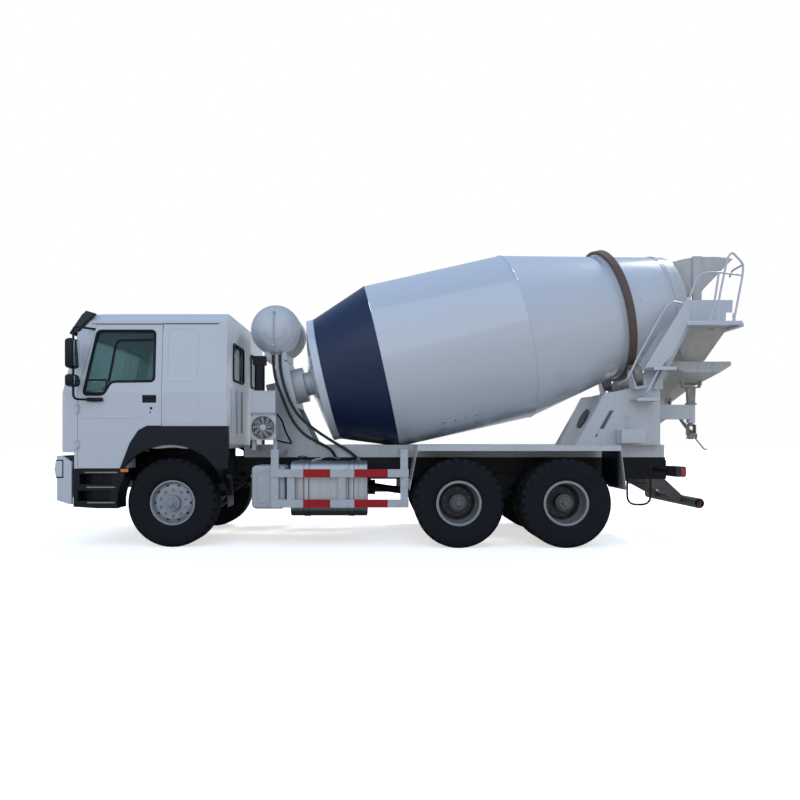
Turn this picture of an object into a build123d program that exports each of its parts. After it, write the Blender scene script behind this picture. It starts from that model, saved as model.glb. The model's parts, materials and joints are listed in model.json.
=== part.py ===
"""Concrete mixer truck, three axles, with the mixing drum, hoppers and swinging chute.

Frame: X runs along the truck and points to its rear, Y points to its right side, Z up. The origin
is on the ground, under the middle of the whole truck. All sizes are in millimetres. Places along
the truck are measured from the front axle: x = front_axle_x + distance behind the front axle.
"""
import os
from math import atan2, cos, degrees, hypot, radians, sin, tan

from build123d import *

os.makedirs("parts", exist_ok=True)

# Whole truck ------------------------------------------------------------------------------------
front_axle_x = -3030  # sets the origin under the middle of the whole truck
wheelbase = 3625  # front axle to first rear axle
bogie_spread = 1350  # first rear axle to second rear axle
half_width = 1240  # cab, deck and guards
gap = 5  # between pieces that move past each other
seat_gap = 0.3  # between a pin and its bore, or a piece and its seat
left_right = (("left", -1), ("right", 1))

# Wheels: a is the distance along the axle from the wheel's middle, r the radius
tyre_r = 560
tyre_half_w = 152
rim_flange_r = 285
rim_seat_r = 267  # the tyre's bead sits here
rim_half_w = 124
rim_metal = 12
brake_drum_r = 203
front_wheel_y = 1011
twin_middle_y = 915
twin_pitch = 350
spindle_r = 40
axle_tube_r = 70
kingpin_y = 870
kingpin_r = 24
wheel_z = tyre_r

# Chassis
rail_y = 425  # outer face of each side rail
rail_flange = 80
rail_wall = 8
rail_bottom_z = 820
rail_height = 300
rail_front = -1250
rail_rear = 6565
rail_top_z = rail_bottom_z + rail_height
jaw_length = 110
tow_pin_r = 20
subframe_height = 170
subframe_front = 760
subframe_rear = 6550
subframe_width = 90
deck_z = rail_top_z + subframe_height  # top of the subframe and of the wheel decks

# Drum: s is the distance along its axis, r the radius; s = 0 is the front edge of the cylinder
drum_slope = 12.7
drum_x = 2648
drum_z = 2404
drum_r = 1170
drum_cylinder = 1935
drum_front_s = -793  # front edge of the front cone
drum_front_r = 875
drum_head_s = -891
drum_mouth_s = 4203
drum_mouth_r = 656
drum_wall = 10
ring_s = 3314
ring_r = 943
ring_width = 90
roller_r = 140
roller_width = 100
roller_angle = 33  # from straight below the ring

# Cab, measured from the front axle
cab_front = -1450
cab_rear = 707
cab_floor_z = 1250
cab_sill_z = 1000
cab_belt_z = 1950
cab_roof_z = 3060
cab_front_sill_z = 1200
roof_seam_z = 2845
cab_wall = 55
pillar_slope = 14.5  # the windscreen leans back by this angle
cab_tilt_x = -1380
cab_tilt_z = 1000
door_front = -1150
door_rear = -106
door_hinge_out = 16  # hinge line, outside the door's skin
door_top_z = 2808

# Chute
swivel_x = 7120
swivel_r = 34
tilt_pin_z = 2170

x0 = front_axle_x


def save(shape, name):
    """Label a finished piece and write it."""
    shape.label = name
    export_step(shape, f"parts/{name}.step")


def side_plane(y):
    """Plane across the truck at y: sketch x is the truck's X, sketch y is Z."""
    return Plane(origin=(0, y, 0), x_dir=(1, 0, 0), z_dir=(0, -1, 0))


def axle_plane(x, y, z, outward=1):
    """Plane through a wheel's axis: sketch x runs along the axle, outward, and sketch y is Z."""
    return Plane(origin=(x, y, z), x_dir=(0, outward, 0), z_dir=(outward, 0, 0))


def closed_line(points):
    """Closed outline of straight edges, made into a face in the sketch that is open."""
    with BuildLine() as outline:
        Polyline(*points, close=True)
    make_face(outline.edges())


# Wheels -----------------------------------------------------------------------------------------
def make_tyre(x, y, outward):
    """One tyre as a ring with a hollow inside, open to the rim."""
    bead = rim_half_w - rim_metal - seat_gap
    outer = [
        (bead, rim_seat_r + seat_gap),
        (bead, rim_flange_r + 4),
        (tyre_half_w - 12, rim_flange_r + 45),
        (tyre_half_w + 3, tyre_r - 120),
        (tyre_half_w - 2, tyre_r - 40),
        (tyre_half_w - 26, tyre_r),
    ]
    inner = [(tyre_half_w - 34, tyre_r - 30), (tyre_half_w - 22, tyre_r - 120), (bead - 25, rim_seat_r + seat_gap)]
    outline = outer + [(-a, r) for a, r in reversed(outer)] + [(-a, r) for a, r in reversed(inner)] + inner
    with BuildPart() as tyre:
        with BuildSketch(axle_plane(x, y, wheel_z, outward)):
            closed_line(outline)
        revolve(axis=Axis((x, y, wheel_z), (0, 1, 0)))
    return tyre.part


def make_front_rim(x, y, outward):
    """Rim, disc, hub and brake drum of a front wheel, with a blind bore for the spindle."""
    w, m = rim_half_w, rim_metal
    barrel_r = rim_seat_r - m
    outline = [
        (-w, rim_flange_r), (-w + m, rim_flange_r), (-w + m, rim_seat_r), (w - m, rim_seat_r),
        (w - m, rim_flange_r), (w, rim_flange_r), (w, rim_seat_r + 3), (w - 16, barrel_r + 1),
        (75, barrel_r - 3), (100, 205), (100, 90), (150, 82), (158, 60), (158, 0),
        (60, 0), (60, spindle_r + seat_gap), (-70, spindle_r + seat_gap), (-70, brake_drum_r),
        (84, brake_drum_r), (60, barrel_r - 11), (60, barrel_r), (-w + 16, barrel_r), (-w, rim_seat_r + 3),
    ]
    with BuildPart() as rim:
        with BuildSketch(axle_plane(x, y, wheel_z, outward)):
            closed_line(outline)
        revolve(axis=Axis((x, y, wheel_z), (0, 1, 0)))
    return rim.part


def make_twin_rim(x, y, outward):
    """Two rims back to back on one hub, with the brake drum inboard and a bore for the axle tube."""
    p, w, m = twin_pitch / 2, rim_half_w, rim_metal
    barrel_r = rim_seat_r - m
    half = [
        (p + w, barrel_r), (p + w, rim_flange_r), (p + w - m, rim_flange_r), (p + w - m, rim_seat_r),
        (p - w + m, rim_seat_r), (p - w + m, rim_flange_r), (p - w, rim_flange_r), (p - w, barrel_r),
        (105, barrel_r), (20, 212),
    ]
    inner_half = [(-a, r) for a, r in reversed(half)]
    outline = half + inner_half + [
        (-125, barrel_r), (-24, brake_drum_r), (-290, brake_drum_r), (-290, axle_tube_r + seat_gap),
        (100, axle_tube_r + seat_gap), (100, 0), (215, 0), (215, 60), (205, 92), (150, 100), (20, 100),
        (20, 195), (125, barrel_r),
    ]
    with BuildPart() as rim:
        with BuildSketch(axle_plane(x, y, wheel_z, outward)):
            closed_line(outline)
        revolve(axis=Axis((x, y, wheel_z), (0, 1, 0)))
    return rim.part


for side, s in left_right:
    save(make_tyre(x0, s * front_wheel_y, s), f"front_tyre_{side}")
    save(make_front_rim(x0, s * front_wheel_y, s), f"front_rim_{side}")
    for row, axle_x in (("mid", x0 + wheelbase), ("rear", x0 + wheelbase + bogie_spread)):
        tyres = [make_tyre(axle_x, s * (twin_middle_y + d * twin_pitch / 2), s) for d in (-1, 1)]
        save(Compound(children=[t.solid() for t in tyres]), f"{row}_tyres_{side}")
        save(make_twin_rim(axle_x, s * twin_middle_y, s), f"{row}_rims_{side}")

# Steering knuckles: a yoke with its kingpin around the axle's eye, and the wheel's spindle
eye_half_h = 50
yoke_t = 40
with BuildPart() as knuckle_left:
    yoke_z = wheel_z - eye_half_h - seat_gap - yoke_t
    with BuildSketch(Plane.XY.offset(yoke_z)):
        with Locations((x0, -kingpin_y)):
            Circle(50)
        with Locations((x0, -kingpin_y - 42.5)):
            Rectangle(100, 45)
    extrude(amount=yoke_t)
    mirror(about=Plane.XY.offset(wheel_z))
    with Locations((x0, -kingpin_y - 57.5, wheel_z)):
        Box(100, 15, 2 * (eye_half_h + seat_gap + yoke_t))
    with Locations((x0, -kingpin_y, wheel_z)):
        Cylinder(kingpin_r, 2 * (eye_half_h + yoke_t))
    with BuildSketch(Plane(origin=(x0, -kingpin_y - 50, wheel_z), x_dir=(1, 0, 0), z_dir=(0, -1, 0))):
        Circle(spindle_r)
    extrude(amount=front_wheel_y + 60 - kingpin_y - 50 - seat_gap)
    with Locations((x0 + 110, -kingpin_y - 20, yoke_z + yoke_t / 2)):
        Box(160, 40, 30)
save(knuckle_left.part, "knuckle_left")
save(mirror(knuckle_left.part, about=Plane.XZ), "knuckle_right")

# Chassis frame ----------------------------------------------------------------------------------
cross_at = (1450, 2700, 4300, 5800)  # crossmembers, behind the front axle
with BuildPart() as frame:
    with BuildSketch(Plane.YZ.offset(x0 + rail_front)):
        for s in (-1, 1):
            web = s * (rail_y - rail_wall / 2)
            flange = s * (rail_y - rail_flange / 2)
            with Locations((web, rail_bottom_z + rail_height / 2)):
                Rectangle(rail_wall, rail_height)
            for z in (rail_bottom_z + rail_wall / 2, rail_top_z - rail_wall / 2):
                with Locations((flange, z)):
                    Rectangle(rail_flange, rail_wall)
    extrude(amount=rail_rear - rail_front)
    # the cab's hinge brackets and stays
    for s in (-1, 1):
        with BuildSketch(side_plane(s * (rail_y - 20))):
            closed_line([
                (x0 + rail_front, rail_bottom_z), (x0 + rail_front, cab_tilt_z + 90),
                (x0 + cab_tilt_x, cab_tilt_z + 35), (x0 + cab_tilt_x - 35, cab_tilt_z),
                (x0 + cab_tilt_x, cab_tilt_z - 35),
            ])
        extrude(amount=15, both=True)
        with Locations(Location((x0 + cab_tilt_x, s * (rail_y + 25), cab_tilt_z), (90, 0, 0))):
            Cylinder(15, 110)
        # stay for the cab's rear edge
        with Locations((x0 + 600, s * (rail_y + 30), (rail_bottom_z + cab_floor_z) / 2)):
            Box(80, 60, cab_floor_z - rail_bottom_z - 2 * seat_gap)
    # crossmembers between the rails' webs
    cross_length = 2 * (rail_y - rail_wall - seat_gap)
    for x in cross_at:
        with Locations((x0 + x, 0, rail_top_z - 70)):
            Box(120, cross_length, 110)
    with Locations((x0 + rail_front + 40, 0, rail_bottom_z + 60)):
        Box(80, 2 * (rail_y - 35 - seat_gap), 100)
    # closing plate and towing jaw at the rear
    with Locations((x0 + rail_rear + 6 + seat_gap / 2, 0, rail_bottom_z + 130)):
        Box(12 - seat_gap, 2 * rail_y, 260)
    with Locations((x0 + rail_rear + jaw_length / 2, 0, rail_bottom_z + 90)):
        Box(jaw_length, 140, 120)
        Cylinder(tow_pin_r, 120, mode=Mode.SUBTRACT)
save(frame.part, "frame")

# Front axle: dropped beam with an eye at each end, on leaf springs under the rails
spring_y = rail_y - rail_flange / 2
with BuildPart() as front_axle:
    beam_top = wheel_z - 60
    with BuildSketch(Plane.YZ.offset(x0 - 50)):
        closed_line([
            (-kingpin_y + 30, wheel_z + 45), (-640, beam_top), (640, beam_top), (kingpin_y - 30, wheel_z + 45),
            (kingpin_y - 55, wheel_z - 40), (620, beam_top - 90), (-620, beam_top - 90),
            (-kingpin_y + 55, wheel_z - 40),
        ])
    extrude(amount=100)
    with Locations((x0, -kingpin_y, wheel_z), (x0, kingpin_y, wheel_z)):
        Cylinder(45, 2 * eye_half_h)
    for s in (-1, 1):
        with BuildSketch(side_plane(s * spring_y)):
            with BuildLine() as leaf:
                low = ThreePointArc((x0 - 750, 745), (x0, beam_top - 5), (x0 + 750, 745))
                top = ThreePointArc((x0 - 750, 780), (x0, beam_top + 70), (x0 + 750, 780))
                Line(low @ 0, top @ 0)
                Line(low @ 1, top @ 1)
            make_face(leaf.edges())
        extrude(amount=40, both=True)
        for d in (-1, 1):
            with Locations((x0 + d * 725, s * spring_y, (rail_bottom_z + 745) / 2)):
                Box(50, 70, rail_bottom_z - 745)
    with Locations((x0, -kingpin_y, wheel_z), (x0, kingpin_y, wheel_z)):
        Cylinder(kingpin_r + seat_gap, 4 * eye_half_h, mode=Mode.SUBTRACT)
save(front_axle.part, "front_axle")

# Rear bogie: two driven axles on leaf springs that rock on a trunnion
bogie_x = x0 + wheelbase + bogie_spread / 2
bogie_spring_y = 495
trunnion_z = wheel_z + 60
with BuildPart() as rear_bogie:
    for axle_x in (x0 + wheelbase, x0 + wheelbase + bogie_spread):
        with Locations(Location((axle_x, 0, wheel_z), (90, 0, 0))):
            Cylinder(axle_tube_r, 2 * (twin_middle_y + 95))
            Cylinder(105, 2 * (twin_middle_y - 330))
        with Locations((axle_x, 0, wheel_z)):
            Sphere(215)
    with Locations(Location((bogie_x, 0, wheel_z), (0, 90, 0))):
        Cylinder(45, bogie_spread)
    with Locations(Location((bogie_x, 0, trunnion_z), (90, 0, 0))):
        Cylinder(60, 2 * (bogie_spring_y + 60))
    for s in (-1, 1):
        with BuildSketch(side_plane(s * bogie_spring_y)):
            with BuildLine() as leaf:
                half = bogie_spread / 2 + 90
                low = ThreePointArc(
                    (bogie_x - half, wheel_z + 95), (bogie_x, wheel_z + 175), (bogie_x + half, wheel_z + 95))
                top = ThreePointArc(
                    (bogie_x - half, wheel_z + 130), (bogie_x, wheel_z + 320), (bogie_x + half, wheel_z + 130))
                Line(low @ 0, top @ 0)
                Line(low @ 1, top @ 1)
            make_face(leaf.edges())
        extrude(amount=45, both=True)
        # clamp over the springs, and the bracket that carries the trunnion from the rail
        with Locations((bogie_x, s * bogie_spring_y, trunnion_z + 130)):
            Box(200, 110, 290)
        with BuildSketch(Plane.XZ.offset(-s * (rail_y - rail_flange / 2))):
            closed_line([
                (bogie_x - 250, rail_bottom_z), (bogie_x + 250, rail_bottom_z),
                (bogie_x + 80, trunnion_z - 60), (bogie_x - 80, trunnion_z - 60),
            ])
        extrude(amount=15, both=True)
    for s in (-1, 1):
        for axle_x in (x0 + wheelbase, x0 + wheelbase + bogie_spread):
            with Locations((axle_x, s * bogie_spring_y, wheel_z + 90)):
                Box(120, 90, 60)
save(rear_bogie.part, "rear_bogie")

# Engine, gearbox and drive shaft, as plain blocks at their real size and place
with BuildPart() as powertrain:
    with Locations((x0 - 250, 0, 980)):
        Box(1150, 640, 640)
    for d in (-500, 250):
        with Locations((x0 - 250 + d, 0, 960)):
            Box(80, 2 * (rail_y - rail_wall) - 2 * seat_gap, 60)
    with Locations((x0 - 900, 0, 1000)):
        Box(90, 600, 420)
    with Locations((x0 - 850, 0, 1000)):
        Box(60, 120, 120)
    with Locations(Location((x0 + 700, 0, 900), (0, 90, 0))):
        Cylinder(180, 800)
    shaft_run = wheelbase - 1100 - 210
    shaft_drop = 900 - wheel_z
    with Locations(Location((x0 + 1100, 0, 900), (0, 90 + degrees(atan2(shaft_drop, shaft_run)), 0))):
        Cylinder(50, hypot(shaft_run, shaft_drop) - 35, align=(Align.CENTER, Align.CENTER, Align.MIN))
save(powertrain.part, "powertrain")

# The drum's axis, and points beside it -----------------------------------------------------------
slope = radians(drum_slope)


def on_drum_axis(s, up=0.0):
    """X and Z of the point at s along the drum's axis and up above it, square to the axis."""
    return drum_x + x0 + s * cos(slope) - up * sin(slope), drum_z + s * sin(slope) + up * cos(slope)


def drum_plane(s, y=0.0, up=0.0):
    """Plane square to the drum's axis at s: sketch x is the truck's Y, sketch y points up."""
    x, z = on_drum_axis(s, up)
    return Plane(origin=(x, y, z), x_dir=(0, 1, 0), z_dir=(cos(slope), 0, sin(slope)))


pedestal_y = 360
gearbox_s = -1075  # the gearbox's output flange
gearbox_plate_s = -1290
gearbox_r = 250
tank_x = 1176
tank_z = 2889
tank_r = 340
tank_half_length = 330

# Subframe and the front pedestal that stands on it ------------------------------------------------
with BuildPart() as subframe:
    for s in (-1, 1):
        with Locations((x0 + (subframe_front + subframe_rear) / 2, s * (rail_y - subframe_width / 2),
                        rail_top_z + subframe_height / 2)):
            Box(subframe_rear - subframe_front, subframe_width, subframe_height)
    for x in (subframe_front + 50, 1300, 2100, 3200, 4300, 5300, subframe_rear - 50):
        with Locations((x0 + x, 0, rail_top_z + subframe_height / 2)):
            Box(100, 2 * rail_y - subframe_width, subframe_height)
    # side plates of the pedestal, their cross ties and the plate that holds the gearbox
    plate_x, plate_z = on_drum_axis(gearbox_plate_s)
    for s in (-1, 1):
        with BuildSketch(side_plane(s * pedestal_y)):
            closed_line([
                (x0 + 1180, deck_z), (x0 + 1180, tank_z - tank_r - 20), (x0 + 1270, tank_z - tank_r - 20),
                on_drum_axis(gearbox_plate_s, 330), on_drum_axis(gearbox_plate_s + 25, 330),
                on_drum_axis(gearbox_plate_s + 25, -330), (x0 + 1740, deck_z),
            ])
        extrude(amount=8, both=True)
        with Locations((x0 + 1225, s * (pedestal_y - 30), (deck_z + tank_z - tank_r - 20) / 2)):
            Box(90, 60, tank_z - tank_r - 20 - deck_z)
    with BuildSketch(drum_plane(gearbox_plate_s)):
        Rectangle(2 * pedestal_y, 660)
        Circle(gearbox_r - 40, mode=Mode.SUBTRACT)
    extrude(amount=25)
    # cradle of the water tank
    with BuildSketch(side_plane(0)):
        with Locations((x0 + tank_x, tank_z - tank_r)):
            Rectangle(300, 160)
        with Locations((x0 + tank_x, tank_z)):
            Circle(tank_r + seat_gap, mode=Mode.SUBTRACT)
    extrude(amount=pedestal_y + 8, both=True)
save(subframe.part, "subframe")

# Drum: two cones and a cylinder, with a dished head, the running ring and an open mouth ----------
mouth_slope = (drum_r - drum_mouth_r) / (drum_mouth_s - drum_cylinder)


def drum_radius(s):
    """Outer radius of the drum behind its cylinder."""
    return drum_r - mouth_slope * (s - drum_cylinder)


with BuildPart() as drum:
    ring_front, ring_back = ring_s - ring_width / 2, ring_s + ring_width / 2
    outside = [
        (gearbox_s + seat_gap, 0), (gearbox_s + seat_gap, 170), (gearbox_s + 25, 170),
        (drum_head_s - 120, 300), (drum_head_s - 60, 620), (drum_head_s, drum_front_r),
        (drum_front_s, drum_front_r), (0, drum_r), (drum_cylinder, drum_r),
        (ring_front, drum_radius(ring_front)), (ring_front, ring_r), (ring_back, ring_r),
        (ring_back, drum_radius(ring_back)), (4048 - 30, drum_radius(4018)), (4018, drum_radius(4018) + 8),
        (4078, drum_radius(4078) + 8), (4078, drum_radius(4078)), (drum_mouth_s, drum_mouth_r),
    ]
    inside = [
        (drum_mouth_s, drum_mouth_r - drum_wall), (drum_cylinder, drum_r - drum_wall), (0, drum_r - drum_wall),
        (drum_front_s, drum_front_r - drum_wall), (drum_head_s + drum_wall, drum_front_r - drum_wall),
        (drum_head_s - 60 + drum_wall, 610), (drum_head_s - 120 + drum_wall, 290), (gearbox_s + 45, 0),
    ]
    axis_x, axis_z = on_drum_axis(0)
    with BuildSketch(Plane(origin=(axis_x, 0, axis_z), x_dir=(cos(slope), 0, sin(slope)), z_dir=(0, -1, 0))):
        closed_line(outside + inside)
    revolve(axis=Axis((axis_x, 0, axis_z), (cos(slope), 0, sin(slope))))
save(drum.part, "drum")

# Gearbox and hydraulic motor that turn the drum
with BuildPart() as drum_gearbox:
    with BuildSketch(drum_plane(gearbox_plate_s + 25)):
        Circle(gearbox_r)
    extrude(amount=gearbox_s - gearbox_plate_s - 25 - 40)
    with BuildSketch(drum_plane(gearbox_s - 40)):
        Circle(170)
    extrude(amount=40)
    with BuildSketch(drum_plane(gearbox_plate_s - 180)):
        Circle(gearbox_r - 60)
    extrude(amount=180 + 25)
    with BuildSketch(drum_plane(gearbox_plate_s - 380)):
        Rectangle(200, 220)
    extrude(amount=200)
save(drum_gearbox.part, "drum_gearbox")

# Water tank across the truck, with dished ends
with BuildPart() as water_tank:
    with BuildSketch(Plane(origin=(x0 + tank_x, 0, tank_z), x_dir=(0, 1, 0), z_dir=(1, 0, 0))):
        dish = [(75, 0), (68, 120), (48, 225), (22, 295), (0, tank_r)]
        closed_line([(tank_half_length + d, r) for d, r in dish]
                    + [(-tank_half_length - d, r) for d, r in reversed(dish)])
    revolve(axis=Axis((x0 + tank_x, 0, tank_z), (0, 1, 0)))
save(water_tank.part, "water_tank")

# Decks over the rear wheels: a flat plate with folded edges and a strip bent down at each end -----
deck_front, deck_rear = 3108, 5650
deck_t = 6
deck_inner_y = rail_y + seat_gap
with BuildPart() as rear_deck:
    for s in (-1, 1):
        inner, outer = s * deck_inner_y, s * half_width
        mid = (inner + outer) / 2
        width = half_width - deck_inner_y
        with Locations((x0 + (deck_front + deck_rear) / 2, mid, deck_z - deck_t / 2)):
            Box(deck_rear - deck_front, width, deck_t)
        for y in (outer - s * deck_t / 2, inner + s * deck_t / 2):
            with Locations((x0 + (deck_front + deck_rear) / 2, y, deck_z - 35)):
                Box(deck_rear - deck_front, deck_t, 70)
        strip_width = half_width - 600
        with BuildSketch(side_plane(outer - s * strip_width / 2)):
            closed_line([
                (x0 + deck_front, deck_z), (x0 + 3000, 730), (x0 + 3000 + deck_t, 730),
                (x0 + deck_front + deck_t, deck_z),
            ])
            closed_line([
                (x0 + deck_rear, deck_z), (x0 + deck_rear + 70, 730), (x0 + deck_rear + 70 - deck_t, 730),
                (x0 + deck_rear - deck_t, deck_z),
            ])
        extrude(amount=strip_width / 2, both=True)
save(rear_deck.part, "rear_deck")

# Mudguards: quarter rings behind the front wheels on arms from the rails, and rear mud flaps
guard_r = 712
with BuildPart() as mudguards:
    for s in (-1, 1):
        with BuildSketch(side_plane(s * (front_wheel_y + 20))):
            with Locations((x0, wheel_z)):
                Circle(guard_r + 6)
                Circle(guard_r, mode=Mode.SUBTRACT)
            with Locations((x0 + 870, wheel_z - 50 + 500)):
                Rectangle(800, 1000, mode=Mode.INTERSECT)
        extrude(amount=165, both=True)
        with Locations((x0 + guard_r + 30, s * (rail_y + 400) , 900)):
            Box(60, 800, 50)
        with BuildSketch(side_plane(s * (front_wheel_y + 20))):
            with Locations((x0 + guard_r + 10, 780)):
                Rectangle(40, 260)
            with Locations((x0, wheel_z)):
                Circle(guard_r + 2, mode=Mode.SUBTRACT)
        extrude(amount=20, both=True)
        with BuildSketch(side_plane(s * (half_width - 320))):
            with Locations((x0 + deck_rear - 25, (deck_z - deck_t + 770) / 2)):
                Rectangle(8, deck_z - deck_t - 770)
        extrude(amount=300, both=True)
save(mudguards.part, "mudguards")

# Bumper: a bowed skin with returned ends, cut for the head lamps and the lower air intake ---------
bumper_front, bumper_side_x, bumper_rear = -1480, -1425, -1230
bumper_bottom, bumper_top = 550, 1160
bumper_skin = 40
lamp_z = 995
with BuildPart() as bumper:
    with BuildSketch(Plane.XY.offset(bumper_bottom)):
        with BuildLine() as outline:
            bow = ThreePointArc((x0 + bumper_side_x, -half_width), (x0 + bumper_front, 0),
                                (x0 + bumper_side_x, half_width))
            Polyline(bow @ 1, (x0 + bumper_rear, half_width), (x0 + bumper_rear, -half_width), bow @ 0)
        make_face(outline.edges())
        with BuildLine() as hollow:
            inner_bow = ThreePointArc(
                (x0 + bumper_side_x + bumper_skin, bumper_skin - half_width), (x0 + bumper_front + bumper_skin, 0),
                (x0 + bumper_side_x + bumper_skin, half_width - bumper_skin))
            Polyline(inner_bow @ 1, (x0 + bumper_rear + 1, half_width - bumper_skin),
                     (x0 + bumper_rear + 1, bumper_skin - half_width), inner_bow @ 0)
        make_face(hollow.edges(), mode=Mode.SUBTRACT)
    extrude(amount=bumper_top - bumper_bottom)
    corners = [e for e in bumper.edges().filter_by(Axis.Z)
               if abs(abs(e.center().Y) - half_width) < 1 and e.center().X < x0 + bumper_side_x + 5]
    fillet(corners, 38)
    # lower edge rises towards the front
    with BuildSketch(side_plane(0)):
        closed_line([(x0 + bumper_front - 20, bumper_bottom - 10), (x0 + bumper_rear + 10, bumper_bottom - 10),
                     (x0 + bumper_front - 20, bumper_bottom + 80)])
    extrude(amount=half_width + 10, both=True, mode=Mode.SUBTRACT)
    # the side ends slope down at the back, out of the way of the tilting cab
    with BuildSketch(side_plane(0)):
        closed_line([(x0 + bumper_rear - 115, bumper_top + 1), (x0 + bumper_rear + 1, bumper_top + 1),
                     (x0 + bumper_rear + 1, bumper_top - 80)])
    extrude(amount=half_width + 10, both=True, mode=Mode.SUBTRACT)
    with Locations((x0 + bumper_front, 0, 760)):
        Box(200, 1100, 120, mode=Mode.SUBTRACT)
    for s in (-1, 1):
        with Locations((x0 + bumper_side_x + 20, s * (half_width - 150), lamp_z)):
            Box(150, 302, 230, mode=Mode.SUBTRACT)
        # bracket from the frame's front crossmember
        with Locations((x0 + rail_front - seat_gap, s * 250, rail_bottom_z + 60)):
            Box(rail_front - bumper_front - bumper_skin + 10, 60, 80, align=(Align.MAX, Align.CENTER, Align.CENTER))
save(bumper.part, "bumper")

# Lamps: head lamps in the bumper's corners, tail lamps on an arm at the end of the frame
tail_lamp_x = 6435
with BuildPart() as lamps:
    for s in (-1, 1):
        with BuildSketch(Plane.XY.offset(lamp_z - 115 + seat_gap)):
            with BuildLine() as outline:
                bow = ThreePointArc((x0 + bumper_side_x, s * half_width), (x0 + bumper_side_x - 13, s * 1100),
                                    (x0 + bumper_side_x - 25, s * (half_width - 301 + seat_gap)))
                Polyline(bow @ 1, (x0 + bumper_side_x + 60, s * (half_width - 301 + seat_gap)),
                         (x0 + bumper_side_x + 94, s * (half_width - 60)),
                         (x0 + bumper_side_x + 94, s * half_width), bow @ 0)
            make_face(outline.edges())
        extrude(amount=230 - 2 * seat_gap)
        with Locations((x0 + tail_lamp_x, s * 1000, 955)):
            Box(120, 330, 130)
        with Locations((x0 + tail_lamp_x, s * (rail_y + 210 + seat_gap), 955)):
            Box(50, 420, 50)
save(lamps.part, "lamps")

# Step boxes in front of the front wheels, with two foot wells, on arms from the rails
with BuildPart() as cab_steps:
    for s in (-1, 1):
        with BuildSketch(side_plane(s * 1095)):
            closed_line([(x0 - 1207, 520), (x0 - 1207, 995), (x0 - 568, 995), (x0 - 568, 500), (x0 - 900, 500)])
            with Locations((x0, wheel_z)):
                Circle(660, mode=Mode.SUBTRACT)
        extrude(amount=145, both=True)
        with Locations((x0 - 930, s * (half_width - 80), 870), (x0 - 950, s * (half_width - 80), 660)):
            Box(400, 170, 130, mode=Mode.SUBTRACT)
        with Locations((x0 - 950, s * (rail_y + 264 + seat_gap), 940)):
            Box(100, 528, 60)
save(cab_steps.part, "cab_steps")

# Side-mounted boxes and tanks --------------------------------------------------------------------
with BuildPart() as battery_box:
    with BuildSketch(side_plane(-1000)):
        with Locations((x0 + 1222, 760)):
            RectangleRounded(425, 549, 60)
    extrude(amount=180, both=True)
    fillet(battery_box.faces().sort_by(Axis.Y)[0].edges(), 40)
    for x in (1120, 1330):
        with Locations((x0 + x, -(rail_y + 215 + seat_gap), 880)):
            Box(60, 430, 60)
save(battery_box.part, "battery_box")

with BuildPart() as silencer:
    with BuildSketch(side_plane(1000)):
        with Locations((x0 + 1290, 740)):
            RectangleRounded(560, 480, 90)
    extrude(amount=180, both=True)
    for x in (1150, 1430):
        with Locations((x0 + x, rail_y + 200 + seat_gap, 880)):
            Box(60, 400, 60)
    with Locations(Location((x0 + 990, 900, 700), (0, 90, 0))):
        Cylinder(60, 60)
save(silencer.part, "silencer")

fuel_front, fuel_rear = 1500, 2467
with BuildPart() as fuel_tank:
    with BuildSketch(Plane.YZ.offset(x0 + fuel_front)):
        with Locations((-855, 733)):
            RectangleRounded(590, 693, 130)
    extrude(amount=fuel_rear - fuel_front)
    for x in (1700, 2270):
        with BuildSketch(Plane.YZ.offset(x0 + x - 30)):
            with Locations((-855, 733)):
                RectangleRounded(602, 705, 136)
        extrude(amount=60)
        with Locations((x0 + x, -(rail_y + 80 + seat_gap), 930)):
            Box(70, 160, 180)
    with Locations((x0 + 1620, -900, 1090)):
        Cylinder(55, 60)
save(fuel_tank.part, "fuel_tank")

with BuildPart() as air_tanks:
    for z in (620, 860):
        with Locations(Location((x0 + 2150, 800, z), (0, 90, 0))):
            Cylinder(115, 800)
    for x in (1850, 2450):
        with Locations((x0 + x, 800, 740)):
            Box(60, 60, 240)
        with Locations((x0 + x, rail_y + 190 + seat_gap, 900)):
            Box(60, 380, 60)
save(air_tanks.part, "air_tanks")

# Side guards: two long bars on uprights, hung from arms that run in to the subframe
guard_bars = (940, 560)
with BuildPart() as side_guards:
    for s in (-1, 1):
        y = s * (half_width - 15)
        for z in guard_bars:
            with Locations((x0 + 2130, y, z)):
                Box(1725, 30, 100)
        for x, z_top in ((1312, 1240), (1514, 985), (2155, 985), (2936, 1240)):
            with Locations((x0 + x, y - s * 15, (510 + z_top) / 2)):
                Box(95, 30, z_top - 510)
        for x in (1312, 2936):
            arm_in, arm_out = rail_y + seat_gap, half_width - 20
            with Locations((x0 + x, s * (arm_in + arm_out) / 2, 1205)):
                Box(80, arm_out - arm_in, 70)
save(side_guards.part, "side_guards")

# Underrun tube at the rear on two slanted brackets, with the lower step hoop
underrun_x, underrun_z = 6848, 521
with BuildPart() as underrun_bar:
    with Locations(Location((x0 + underrun_x, 0, underrun_z), (90, 0, 0))):
        Cylinder(67, 1600)
        Cylinder(60, 1602, mode=Mode.SUBTRACT)
    for s in (-1, 1):
        with BuildSketch(side_plane(s * 400)):
            closed_line([
                (x0 + 6300, rail_bottom_z - seat_gap), (x0 + 6300, rail_bottom_z - 60), (x0 + underrun_x - 60, underrun_z - 30),
                (x0 + underrun_x - 30, underrun_z + 58), (x0 + 6560, rail_bottom_z - seat_gap),
            ])
        extrude(amount=20, both=True)
save(underrun_bar.part, "underrun_bar")

# Rear pedestal: side plates, rollers' seats, posts to the platform and the chute's beam ----------
rear_plate_y = 520
rear_plate_t = 20
swivel_tube_r = 60
swivel_tube_bottom, swivel_tube_top = 1600, 1865
roller_pin_r = 30
platform_z = 2920
platform_t = 40


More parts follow.
